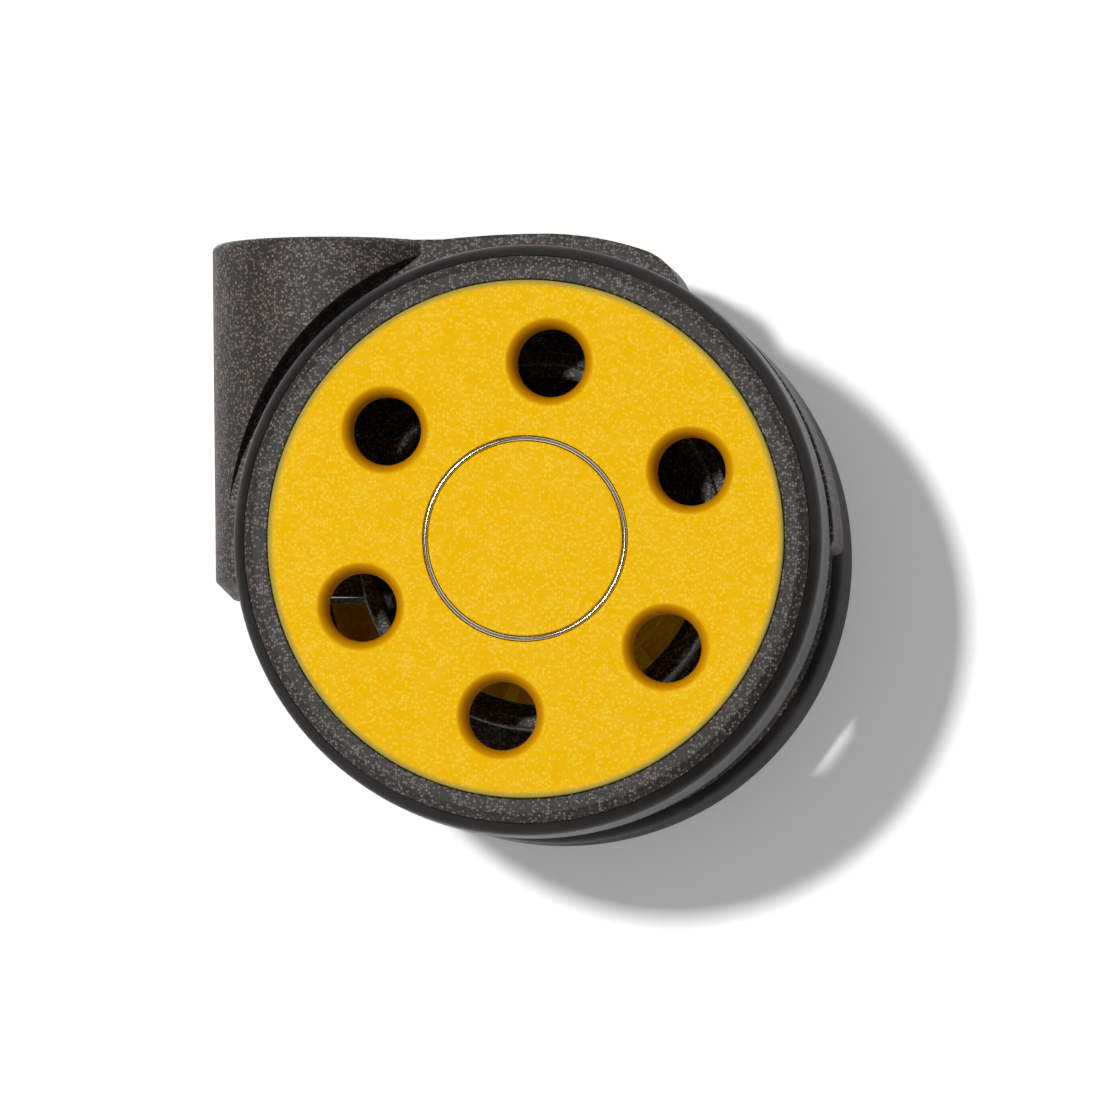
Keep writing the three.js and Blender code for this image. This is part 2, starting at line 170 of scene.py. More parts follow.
class CasterHoodSizes(bpy.types.PropertyGroup):
    """Sizes of the hood, about the axle unless it says otherwise."""

    half: length("Half thickness", "Half the hood's thickness between the wheels", 0.0075)
    edge: length("Edge", "Rounding of the hood's edges", 0.00035)
    crown_rise: length("Crown rise", "How far the arc stands above the barrel", HOOD_HIGH.z)
    arc_end: angle("Arc end", "Angle above the axle where the top arc ends", 71)
    corner_end: angle("Corner end", "Angle where the corner after the arc ends", 62)
    fender_start: angle("Fender start", "Angle where the fender begins", 59.5)
    fender_end: angle("Fender end", "Angle where the fender ends", 1.5)
    fender_drop: length("Fender drop", "How far the fender reaches below the axle", 0.0004)
    well_radius: length("Well radius", "Radius of the wells that clear the wheels", WHEEL_RADIUS + 0.00265)
    barrel_length: length("Barrel length", "Length of the barrel from its top", 0.5e-3 - SLEEVE_LOW.z)
    barrel_draft: length("Barrel draft", "How much slimmer the barrel's lower end is", 0.00044)
    barrel_top: length("Barrel top edge", "Rounding of the barrel's top edge", 0.0008)
    barrel_chamfer: length("Barrel chamfer", "Chamfer of the barrel's lower end", 0.002)
    web_half: length("Web half thickness", "Half the thickness of the round web", 0.002)
    web_radius: length("Web radius", "Radius of the round web", 0.0205)
    window_hub: length("Window hub", "Width left between the windows and the hub", 0.00125)
    window_rim: length("Window rim", "Width left between the windows and the hoop", 0.0013)
    skirt_width: length("Skirt width", "How far the web reaches past the hoop, under the axle", 0.0035)
    skirt_start: angle("Skirt start", "Angle where the web starts to reach past the hoop", -140)
    skirt_end: angle("Skirt end", "Angle where that ends", 0)
    hoop_inner: length("Hoop inner radius", "Inner radius of the hoop on the web", 0.01825)
    hoop_outer: length("Hoop outer radius", "Outer radius of the hoop on the web", 0.0199)
    hoop_half: length("Hoop half width", "Half the hoop's width along the axle", 0.0086)
    hub_radius: length("Hub radius", "Radius of the hood's hub", 0.00635)
    pocket_inner: length("Pocket inner radius", "Inner radius of the sunk pockets", 0.02115)
    pocket_outer: length("Pocket outer radius", "Outer radius of the sunk pockets", 0.02925)
    pocket_half: length("Pocket web", "Half the thickness left between two pockets", 0.0035)
    core_radius: length("Core radius", "Radius of the core around the lower bush", 0.0086)


class CasterSocketSizes(bpy.types.PropertyGroup):
    """Sizes of the stem socket and its bushes."""

    bore: length("Stem bore", "Radius of the bore that takes the stem", 0.00555)
    sleeve_wall: length("Sleeve wall", "Wall of the stem sleeve", 0.0006)
    flange: length("Flange", "Thickness of the sleeve's flange", 0.001)
    rolled_end: length("Rolled end", "Height of the sleeve's rolled lower end", 0.0007)
    fit: length("Running fit", "Gap between the sleeve and what turns on it", 0.0003)
    upper_flange: length("Upper bush flange", "Thickness of the upper bush's flange", 0.0008)
    axle_chamfer: length("Axle chamfer", "Chamfer of the axle's ends", 0.0004)
    press: length("Press fit", "Gap that shows around the axle's pressed pieces", 0.00003)
    bush_flange: length("Hub bush flange", "Thickness of a hub bush's flange", 0.0007)
    bush_wall: length("Hub bush wall", "Wall of a hub bush", 0.0012)


class CasterFinishes(bpy.types.PropertyGroup):
    """Colours of the finishes."""

    yellow: colour("Yellow", "Moulded yellow nylon", (0.86, 0.47, 0.0))
    # Darker yellow for the holes' rounded mouths, unflecked: painted shade in the holes
    yellow_hole_shade: colour("Yellow in the holes", "Smooth yellow inside the holes", (0.62, 0.27, 0.0))
    yellow_fleck: colour("Yellow fleck", "Pale fleck in the yellow nylon", (0.97, 0.66, 0.06))
    # Olive yellow for the disc's rounded outer edge: painted shade where the edge meets the rim
    yellow_edge_shade: colour("Yellow edge", "Yellow where the disc's edge is thin", (0.34, 0.3, 0.06))
    black: colour("Black", "Moulded black nylon", (0.017, 0.0135, 0.012))
    black_fleck: colour("Black fleck", "Pale fleck in the black nylon", (0.3, 0.24, 0.2))
    tread: colour("Tread", "Smooth polyurethane tread", (0.013, 0.0115, 0.011))
    chrome: colour("Chrome", "Bright ring", (0.86, 0.85, 0.83))
    steel: colour("Steel", "Zinc-plated steel", (0.56, 0.57, 0.58))
    acetal: colour("Acetal", "Natural acetal bushes", (0.74, 0.72, 0.65))
    fleck_size: length("Fleck size", "Size of a fleck's cell", 0.00034)
    yellow_amount: share("Yellow flecks", "Share of the yellow that is flecked", 0.62)
    black_amount: share("Black flecks", "Share of the black that is flecked", 0.5)
    hood_amount: share("Hood flecks", "Share of the hood's black that is flecked", 0.62)


class CasterStage(bpy.types.PropertyGroup):
    """The plain floor, the lamps and the camera."""

    distance: length("Camera distance", "From the camera to the disc's plane", 1.1)
    azimuth: angle("Camera azimuth", "Camera's turn around the caster", 5.7)
    elevation: angle("Camera elevation", "Camera's rise above the axle's level", -3.0)
    width: length("Framed width", "Width that the camera frames at the disc's plane", 0.1171)
    key_level: brightness("Key level", "Share of white from the key lamp", 0.74)
    back_level: brightness("Back level", "Share of white from the lamp behind", 0.6)
    fill_level: brightness("Fill level", "Share of white from the sky", 0.26)
    dim_level: brightness("Dim level", "What metal mirrors between the cards", 0.07)
    card_angle: angle("Card angle", "Turn of the mirrored cards from the top", 35)
    floor_glow: brightness("Floor glow", "Share of white the floor adds", 0.17)
    key_distance: length("Key distance", "From the key lamp to the caster", 1.6)
    key_size: length("Key size", "Width of the key lamp", 0.085)


GROUPS = {
    "caster_wheels": CasterWheelSizes,
    "caster_hood": CasterHoodSizes,
    "caster_socket": CasterSocketSizes,
    "caster_finishes": CasterFinishes,
    "caster_stage": CasterStage,
}


# ---- Node trees written as expressions ----


class Wire:
    """A socket that takes part in Python expressions."""

    def __init__(self, graph, socket):
        self.graph = graph
        self.socket = socket

    def out(self, name):
        return Wire(self.graph, self.socket.node.outputs[name])

    def maths(self, operation, *values):
        sockets = dict(enumerate(values))
        return self.graph.node("ShaderNodeMath", {"operation": operation}, sockets)

    def __add__(self, other):
        return self.maths("ADD", self, other)

    def __radd__(self, other):
        return self.maths("ADD", other, self)

    def __sub__(self, other):
        return self.maths("SUBTRACT", self, other)

    def __rsub__(self, other):
        return self.maths("SUBTRACT", other, self)

    def __mul__(self, other):
        return self.maths("MULTIPLY", self, other)

    def __rmul__(self, other):
        return self.maths("MULTIPLY", other, self)

    def __truediv__(self, other):
        return self.maths("DIVIDE", self, other)

    def __rtruediv__(self, other):
        return self.maths("DIVIDE", other, self)

    def ramp(self, start, end):
        """Rises smoothly from 0 at start to 1 at end."""
        sockets = {"Value": self, "From Min": start, "From Max": end}
        return self.graph.node("ShaderNodeMapRange", {"interpolation_type": "SMOOTHSTEP"}, sockets)


class Graph:
    """A node tree that is built by calls."""

    def __init__(self, tree):
        self.tree = tree

    def node(self, kind, settings=None, sockets=None, output=0):
        node = self.tree.nodes.new(kind)
        node.location = (180 * (len(self.tree.nodes) % 12), -220 * (len(self.tree.nodes) // 12))
        for name, value in (settings or {}).items():
            if name == "stops":
                self.set_stops(node.color_ramp, value)
            else:
                setattr(node, name, value)
        for name, value in (sockets or {}).items():
            self.feed(node.inputs[name], value)
        return Wire(self, node.outputs[output]) if node.outputs else node

    def feed(self, socket, value):
        if isinstance(value, Wire):
            self.tree.links.new(value.socket, socket)
        elif isinstance(value, (list, tuple)) and value and isinstance(value[0], Wire):
            for wire in value:
                self.tree.links.new(wire.socket, socket)
        elif hasattr(socket.default_value, "__len__") and not isinstance(value, str):
            socket.default_value = tuple(value)[: len(socket.default_value)]
        else:
            socket.default_value = value

    @staticmethod
    def set_stops(ramp, stops):
        while len(ramp.elements) < len(stops):
            ramp.elements.new(0.5)
        for element, (position, value) in zip(ramp.elements, stops):
            element.position = position
            element.color = (value, value, value, 1) if isinstance(value, (int, float)) else (*value, 1)


class ShapeTree(Graph):
    """A Geometry Nodes tree with named inputs."""

    def __init__(self, name, inputs):
        super().__init__(bpy.data.node_groups.new(name, "GeometryNodeTree"))
        self.tree.interface.new_socket("Geometry", in_out="INPUT", socket_type="NodeSocketGeometry")
        for label, kind in inputs.items():
            self.tree.interface.new_socket(label, in_out="INPUT", socket_type=f"NodeSocket{kind}")
        self.tree.interface.new_socket("Geometry", in_out="OUTPUT", socket_type="NodeSocketGeometry")
        self.start = self.node("NodeGroupInput")

    def value(self, name):
        return self.start.out(name)

    def finish(self, geometry):
        self.node("NodeGroupOutput", sockets={"Geometry": geometry})
        return self.tree

    def call(self, tree, sockets):
        return self.node("GeometryNodeGroup", {"node_tree": tree}, sockets)


def tree_named(name, build):
    return bpy.data.node_groups.get(name) or build(name)


# ---- Profiles and plain meshes ----


def filleted(corners, steps=5, closed=True):
    """Points of an outline whose corners (x, y, rounding) are rounded."""
    points = []
    count = len(corners)
    for i, (x, y, rounding) in enumerate(corners):
        here = Vector((x, y))
        at_end = not closed and i in (0, count - 1)
        if rounding <= 0 or at_end:
            points.append(here)
            continue
        back = Vector(corners[i - 1][:2]) - here
        ahead = Vector(corners[(i + 1) % count][:2]) - here
        half = back.angle(ahead) / 2
        reach = min(rounding / math.tan(half), 0.48 * back.length, 0.48 * ahead.length)
        radius = reach * math.tan(half)
        middle = (back.normalized() + ahead.normalized()).normalized()
        centre = here + middle * radius / math.sin(half)
        arm = here + back.normalized() * reach - centre
        end = here + ahead.normalized() * reach - centre
        sweep = math.atan2(arm.x * end.y - arm.y * end.x, arm.dot(end))
        for k in range(steps + 1):
            points.append(centre + Matrix.Rotation(sweep * k / steps, 2) @ arm)
    return points


def bend(start, pull, end, steps):
    """Points on a curve from start to end that leans towards pull."""
    points = []
    for k in range(1, steps):
        t = k / steps
        points.append(start * (1 - t) ** 2 + pull * 2 * t * (1 - t) + end * t * t)
    return points


def linked_object(name, mesh):
    piece = bpy.data.objects.new(name, mesh)
    bpy.context.scene.collection.objects.link(piece)
    return piece


def profile_object(name, points, closed=True):
    """A profile of (radius, height) points as a line for the turning tree."""
    mesh = bpy.data.meshes.new(name)
    vertices = [(radius, -height, 0) for radius, height in reversed(points)]
    edges = [(i, i + 1) for i in range(len(vertices) - 1)]
    if closed:
        edges.append((len(vertices) - 1, 0))
    mesh.from_pydata(vertices, edges, [])
    return linked_object(name, mesh)


def evaluated_mesh(piece, name):
    depsgraph = bpy.context.evaluated_depsgraph_get()
    mesh = bpy.data.meshes.new_from_object(
        piece.evaluated_get(depsgraph), preserve_all_data_layers=True, depsgraph=depsgraph
    )
    mesh.name = name
    return mesh


def settle(piece, name):
    """Leaves the evaluated shape as the object's own mesh."""
    mesh = evaluated_mesh(piece, name)
    if len(mesh.polygons) == 0:
        raise RuntimeError(f"{name} came out empty")
    piece.modifiers.clear()
    piece.data = mesh
    piece.name = name
    return piece


def weigh_normals(piece):
    weighted = piece.modifiers.new("Weighted normals", "WEIGHTED_NORMAL")
    weighted.keep_sharp = True
    weighted.weight = 50


def set_inputs(modifier, values):
    """Sets a Geometry Nodes modifier's inputs by the names in its tree."""
    sockets = {item.name: item for item in modifier.node_group.interface.items_tree}
    for name, value in values.items():
        modifier[sockets[name].identifier] = value


def discard(*pieces):
    for piece in pieces:
        bpy.data.objects.remove(piece)


def fit_piece(piece, body, slot, *nodes):
    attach(piece, body)
    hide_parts(*nodes)


# ---- Geometry Nodes trees ----


def build_turning(name):
    """Turns a profile round Z, closes it, and marks its sharp edges."""
    graph = ShapeTree(name, {"Flats": "Int", "Swing": "Float", "Crease": "Float"})
    swing = graph.value("Swing")
    shift = graph.node("ShaderNodeCombineXYZ", sockets={"X": swing * -1.0})
    moved = graph.node(
        "GeometryNodeTransform", sockets={"Geometry": graph.start, "Translation": shift}
    )
    profile = graph.node("GeometryNodeMeshToCurve", sockets={"Mesh": moved})
    circle = graph.node(
        "GeometryNodeCurvePrimitiveCircle",
        {"mode": "RADIUS"},
        {"Resolution": graph.value("Flats"), "Radius": swing},
    )
    turned = graph.node(
        "GeometryNodeCurveToMesh", sockets={"Curve": circle, "Profile Curve": profile}
    )
    merged = graph.node("GeometryNodeMergeByDistance", sockets={"Geometry": turned, "Distance": 1e-6})
    return graph.finish(crease(graph, merged, graph.value("Crease")))


def crease(graph, geometry, limit):
    """Smooth faces, with edges sharper than the limit kept sharp."""
    smooth = graph.node(
        "GeometryNodeSetShadeSmooth",
        {"domain": "FACE"},
        {"Geometry": geometry, "Shade Smooth": True},
    )
    bend = graph.node("GeometryNodeInputMeshEdgeAngle")
    sharp = graph.node("FunctionNodeCompare", {"operation": "GREATER_THAN"}, {0: bend, 1: limit})
    return graph.node(
        "GeometryNodeSetShadeSmooth",
        {"domain": "EDGE"},
        {"Geometry": smooth, "Selection": sharp, "Shade Smooth": False},
    )


def build_ring(name):
    """Copies a piece round Z, at a radius and from a first angle."""
    graph = ShapeTree(name, {"Count": "Int", "Radius": "Float", "Phase": "Float"})
    out = graph.node("ShaderNodeCombineXYZ", sockets={"X": graph.value("Radius")})
    moved = graph.node("GeometryNodeTransform", sockets={"Geometry": graph.start, "Translation": out})
    points = graph.node(
        "GeometryNodePoints", sockets={"Count": graph.value("Count"), "Radius": 0.001}
    )
    step = graph.node("GeometryNodeInputIndex") * (2 * math.pi) / graph.value("Count")
    turn = graph.node("ShaderNodeCombineXYZ", sockets={"Z": step + graph.value("Phase")})
    rotation = graph.node("FunctionNodeEulerToRotation", sockets={0: turn})
    copies = graph.node(
        "GeometryNodeInstanceOnPoints",
        sockets={"Points": points, "Instance": moved, "Rotation": rotation},
    )
    return graph.finish(graph.node("GeometryNodeRealizeInstances", sockets={"Geometry": copies}))


def placed(graph, geometry):
    """The last steps of every piece: stand it on its axis, and give it its finish."""
    moved = graph.node(
        "GeometryNodeTransform",
        sockets={
            "Geometry": geometry,
            "Translation": graph.value("Centre"),
            "Rotation": graph.value("Turn"),
        },
    )
    real = graph.node("GeometryNodeRealizeInstances", sockets={"Geometry": moved})
    return graph.node(
        "GeometryNodeSetMaterial", sockets={"Geometry": real, "Material": graph.value("Finish")}
    )


PLACE_INPUTS = {"Centre": "Vector", "Turn": "Rotation", "Finish": "Material"}


def build_turned_piece(name):
    """One turned piece on an axis of its own."""
    inputs = {"Flats": "Int", "Swing": "Float", "Crease": "Float"}
    graph = ShapeTree(name, {**inputs, **PLACE_INPUTS})
    turned = graph.call(
        tree_named("Caster turning", build_turning),
        {"Geometry": graph.start, **{key: graph.value(key) for key in inputs}},
    )
    return graph.finish(placed(graph, turned))


def build_wheel_disc(name):
    """A turned disc with a ring of ribs behind it and a ring of holes through it."""
    inputs = {
        "Flats": "Int",
        "Hole flats": "Int",
        "Swing": "Float",
        "Crease": "Float",
        "Hole profile": "Object",
        "Holes": "Int",
        "Pitch radius": "Float",
        "Hole phase": "Float",
        "Rib size": "Vector",
        "Rib place": "Vector",
    }
    graph = ShapeTree(name, {**inputs, **PLACE_INPUTS})
    value = graph.value
    turning = tree_named("Caster turning", build_turning)
    ring = tree_named("Caster ring", build_ring)
    body = graph.call(
        turning,
        {"Geometry": graph.start, "Flats": value("Flats"), "Swing": value("Swing"), "Crease": NO_CREASE},
    )
    rib = graph.node("GeometryNodeMeshCube", sockets={"Size": value("Rib size")})
    rib = graph.node(
        "GeometryNodeTransform", sockets={"Geometry": rib, "Translation": value("Rib place")}
    )
    half_step = math.pi / value("Holes")
    ribs = graph.call(
        ring,
        {
            "Geometry": rib,
            "Count": value("Holes"),
            "Radius": 0.0,
            "Phase": value("Hole phase") + half_step,
        },
    )
    cutter_profile = graph.node(
        "GeometryNodeObjectInfo", {"transform_space": "ORIGINAL"}, {"Object": value("Hole profile")}
    ).out("Geometry")
    cutter = graph.call(
        turning,
        {
            "Geometry": cutter_profile,
            "Flats": value("Hole flats"),
            "Swing": value("Swing"),
            "Crease": NO_CREASE,
        },
    )
    cutters = graph.call(
        ring,
        {
            "Geometry": cutter,
            "Count": value("Holes"),
            "Radius": value("Pitch radius"),
            "Phase": value("Hole phase"),
        },
    )
    joined = graph.node(
        "GeometryNodeMeshBoolean", {"operation": "UNION", "solver": "EXACT"}, {"Mesh 2": [body, ribs]}
    )
    cut = graph.node(
        "GeometryNodeMeshBoolean",
        {"operation": "DIFFERENCE", "solver": "EXACT"},
        {"Mesh 1": joined, "Mesh 2": cutters},
    )
    return graph.finish(placed(graph, crease(graph, cut, value("Crease"))))


# ---- Finishes ----


def new_finish(name, settings):
    """A material with one Principled shader, whose plain values are set on its own sockets."""
    material = bpy.data.materials.new(name)
    material.use_nodes = True
    material.node_tree.nodes.clear()
    graph = Graph(material.node_tree)
    shader = graph.node("ShaderNodeBsdfPrincipled", sockets=settings)
    graph.node("ShaderNodeOutputMaterial", sockets={"Surface": shader})
    return material, graph, shader.socket.node


def finish_named(name, build, context):
    return bpy.data.materials.get(name) or build(name, context.scene.caster_finishes)


def mixed(graph, factor, first, second):
    """A colour between two others."""
    node = graph.node("ShaderNodeMix", {"data_type": "RGBA", "clamp_factor": True})
    mix = node.socket.node
    colour_inputs = [socket for socket in mix.inputs if socket.type == "RGBA"]
    graph.feed(mix.inputs[0], factor)
    for socket, value in zip(colour_inputs, (first, second)):
        plain = isinstance(value, (tuple, list)) or hasattr(value, "hsv")
        graph.feed(socket, (*value, 1) if plain else value)
    return Wire(graph, next(socket for socket in mix.outputs if socket.type == "RGBA"))


def object_place(graph):
    return graph.node("ShaderNodeTexCoord").out("Object")


def noise(graph, place, size, detail=2.0, roughness=0.5):
    return graph.node(
        "ShaderNodeTexNoise",
        sockets={"Vector": place, "Scale": 1 / size, "Detail": detail, "Roughness": roughness},
    )


def flecks(graph, place, size, amount, spread):
    """Small soft spots in a share of the cells, crowded in some places and thin in others."""
    cells = graph.node(
        "ShaderNodeTexVoronoi", {"feature": "F1"}, {"Vector": place, "Scale": 1 / size}
    )
    pick = graph.node("ShaderNodeSeparateColor", sockets={"Color": cells.out("Color")})
    crowd = noise(graph, place, spread).ramp(0.3, 0.7)
    chosen = (pick.out("Red") + crowd * 0.3).ramp(1.15 - amount, 1.3 - amount)
    spot = 1 - cells.out("Distance").ramp(0.1, 0.75)
    return chosen * spot * (pick.out("Green") * 0.7 + 0.3)


def bumped(graph, height, distance, strength=1.0):
    return graph.node(
        "ShaderNodeBump", sockets={"Height": height, "Distance": distance, "Strength": strength}
    )


def distance_2d(graph, x, y):
    return graph.node("ShaderNodeMath", {"operation": "SQRT"}, {0: x * x + y * y})


def wheel_place(graph, place):
    """How far a point is from the axle's line, and its angle, alike on both wheels."""
    parts = graph.node("ShaderNodeSeparateXYZ", sockets={"Vector": place})
    side = graph.node("ShaderNodeMath", {"operation": "SIGN"}, {0: parts.out("Y")})
    x = (parts.out("X") - AXLE_X) * side * -1.0
    z = parts.out("Z") - AXLE_Z
    around = graph.node("ShaderNodeMath", {"operation": "ARCTAN2"}, {0: x, 1: z})
    return distance_2d(graph, x, z), around


def yellow_nylon(name, finishes):
    wheels = bpy.context.scene.caster_wheels
    material, graph, shader = new_finish(name, {"IOR": 1.5, "Specular IOR Level": 0.03})
    place = object_place(graph)
    radius, around = wheel_place(graph, place)
    step = 2 * math.pi / wheels.hole_count
    folded = graph.node(
        "ShaderNodeMath", {"operation": "WRAP"}, {0: around - wheels.hole_phase, 1: step / 2, 2: -step / 2}
    )
    sine = graph.node("ShaderNodeMath", {"operation": "SINE"}, {0: folded})
    cosine = graph.node("ShaderNodeMath", {"operation": "COSINE"}, {0: folded})
    from_hole = distance_2d(graph, radius * sine, radius * cosine - wheels.hole_pitch)
    lip = wheels.hole_radius + wheels.hole_lip
    # Mask of the holes' rounded mouths: there the yellow is smooth and unflecked, and darker as painted shade
    smooth = 1 - from_hole.ramp(lip - 0.0003, lip + 0.0002)
    fine = flecks(graph, place, finishes.fleck_size, finishes.yellow_amount, 0.0022)
    broad = noise(graph, place, 0.0016, 3.0).ramp(0.35, 0.75) * 0.16
    pale = (fine + broad) * (1 - smooth)
    body = mixed(graph, pale, finishes.yellow, finishes.yellow_fleck)
    # Painted shade: the holes' mouths take the darker yellow
    body = mixed(graph, smooth, body, finishes.yellow_hole_shade)
    # Painted shade: the yellow darkens to olive at the disc's rounded outer edge, by the rim
    edge = radius.ramp(SEAT_RADIUS - 0.0009, SEAT_RADIUS - 0.0002)
    graph.feed(shader.inputs["Base Color"], mixed(graph, edge * 0.85, body, finishes.yellow_edge_shade))
    grain = noise(graph, place, 0.00022, 2.0)
    graph.feed(shader.inputs["Roughness"], 0.58 + grain * 0.16 - fine * 0.12)
    height = (grain + fine * 0.6) * (1 - smooth * 0.85)
    graph.feed(shader.inputs["Normal"], bumped(graph, height, 0.00006, 0.5))
    return material


def black_nylon(name, finishes, amount=None):
    material, graph, shader = new_finish(name, {"IOR": 1.5, "Specular IOR Level": 0.42})
    place = object_place(graph)
    fine = flecks(graph, place, finishes.fleck_size * 0.8, amount or finishes.black_amount, 0.003)
    body = mixed(graph, fine, finishes.black, finishes.black_fleck)
    graph.feed(shader.inputs["Base Color"], body)
    grain = noise(graph, place, 0.00024, 3.0, 0.6)
    graph.feed(shader.inputs["Roughness"], 0.46 + grain * 0.14 - fine * 0.16)
    rounded = graph.node("ShaderNodeBevel", {"samples": 6}, {"Radius": 0.00022})
    bump = bumped(graph, grain, 0.00012, 0.7)
    graph.feed(bump.socket.node.inputs["Normal"], rounded)
    graph.feed(shader.inputs["Normal"], bump)
    return material


def hood_nylon(name, finishes):
    return black_nylon(name, finishes, finishes.hood_amount)


def tread_rubber(name, finishes):
    material, graph, shader = new_finish(name, {"IOR": 1.5, "Specular IOR Level": 0.2})
    place = object_place(graph)
    soft = noise(graph, place, 0.004, 4.0, 0.6)
    fine = noise(graph, place, 0.0005, 2.0)
    worn = tuple(channel * 1.6 for channel in finishes.tread)
    graph.feed(shader.inputs["Base Color"], mixed(graph, soft.ramp(0.4, 0.8), finishes.tread, worn))
    graph.feed(shader.inputs["Roughness"], 0.3 + soft * 0.1 + fine * 0.05)
    graph.feed(shader.inputs["Normal"], bumped(graph, fine, 0.00002, 0.3))
    return material


def bright_chrome(name, finishes):
    material, graph, shader = new_finish(name, {"Metallic": 1.0})
    place = object_place(graph)
    smear = noise(graph, place, 0.003, 3.0)
    dimmed = tuple(channel * 0.92 for channel in finishes.chrome)
    graph.feed(shader.inputs["Base Color"], mixed(graph, smear, dimmed, finishes.chrome))
    graph.feed(shader.inputs["Roughness"], 0.06 + smear * 0.06)
    return material


def plated_steel(name, finishes):
    material, graph, shader = new_finish(name, {"Metallic": 1.0})
    place = object_place(graph)
    cloud = noise(graph, place, 0.0025, 4.0, 0.6)
    streaks = noise(graph, place, 0.0002, 2.0)
    dull = tuple(channel * 0.8 for channel in finishes.steel)
    graph.feed(shader.inputs["Base Color"], mixed(graph, cloud.ramp(0.3, 0.7), dull, finishes.steel))
    graph.feed(shader.inputs["Roughness"], 0.26 + cloud * 0.12 + streaks * 0.06)
    graph.feed(shader.inputs["Normal"], bumped(graph, streaks, 0.00002, 0.4))
    return material


def natural_acetal(name, finishes):
    material, graph, shader = new_finish(name, {"IOR": 1.48})
    place = object_place(graph)
    cloud = noise(graph, place, 0.002, 3.0)
    fine = noise(graph, place, 0.0002, 2.0)
    warm = tuple(channel * shade for channel, shade in zip(finishes.acetal, (0.95, 0.92, 0.85)))
    graph.feed(shader.inputs["Base Color"], mixed(graph, cloud, warm, finishes.acetal))
    graph.feed(shader.inputs["Roughness"], 0.4 + fine * 0.12)
    graph.feed(shader.inputs["Normal"], bumped(graph, fine, 0.00002, 0.4))
    return material


FINISHES = {
    "yellow_textured": ("Yellow nylon", yellow_nylon),
    "black_textured": ("Black nylon", black_nylon),
    "hood": ("Hood nylon", hood_nylon),
    "tread_soft": ("Tread polyurethane", tread_rubber),
    "chrome_trim": ("Bright chrome", bright_chrome),
    "steel": ("Plated steel", plated_steel),
    "acetal": ("Natural acetal", natural_acetal),
}


def finish_of(slot, context):
    return finish_named(*FINISHES[slot], context)


# ---- Turned pieces ----


def outward(height):
    """A height along -Y as a distance from the middle plane."""
    return -height


def wheel_turn(side):
    return (math.pi / 2, 0, 0) if side == "near" else (math.pi / 2, 0, math.pi)


def turned_piece(
    context, name, corners, closed=True, upright=False, side="near", slot="steel", flats=TURNED_FLATS
):
    """A turned piece from its profile, on the swivel's axis or on the axle's."""
    points = filleted(corners, closed=closed)
    piece = profile_object(name, points, closed)
    modifier = piece.modifiers.new("Turning", "NODES")
    modifier.node_group = tree_named("Caster turned piece", build_turned_piece)
    set_inputs(
        modifier,
        {
            "Flats": flats,
            "Swing": SWING,
            "Crease": CREASE,
            "Centre": (0.0, 0.0, 0.0) if upright else (AXLE_X, 0.0, AXLE_Z),
            "Turn": (0.0, 0.0, 0.0) if upright else wheel_turn(side),
            "Finish": finish_of(slot, context),
        },
    )
    weigh_normals(piece)
    return settle(piece, name)


def tube(inner, outer, low, high, rounding):
    return [(inner, low, rounding), (outer, low, rounding), (outer, high, rounding), (inner, high, rounding)]


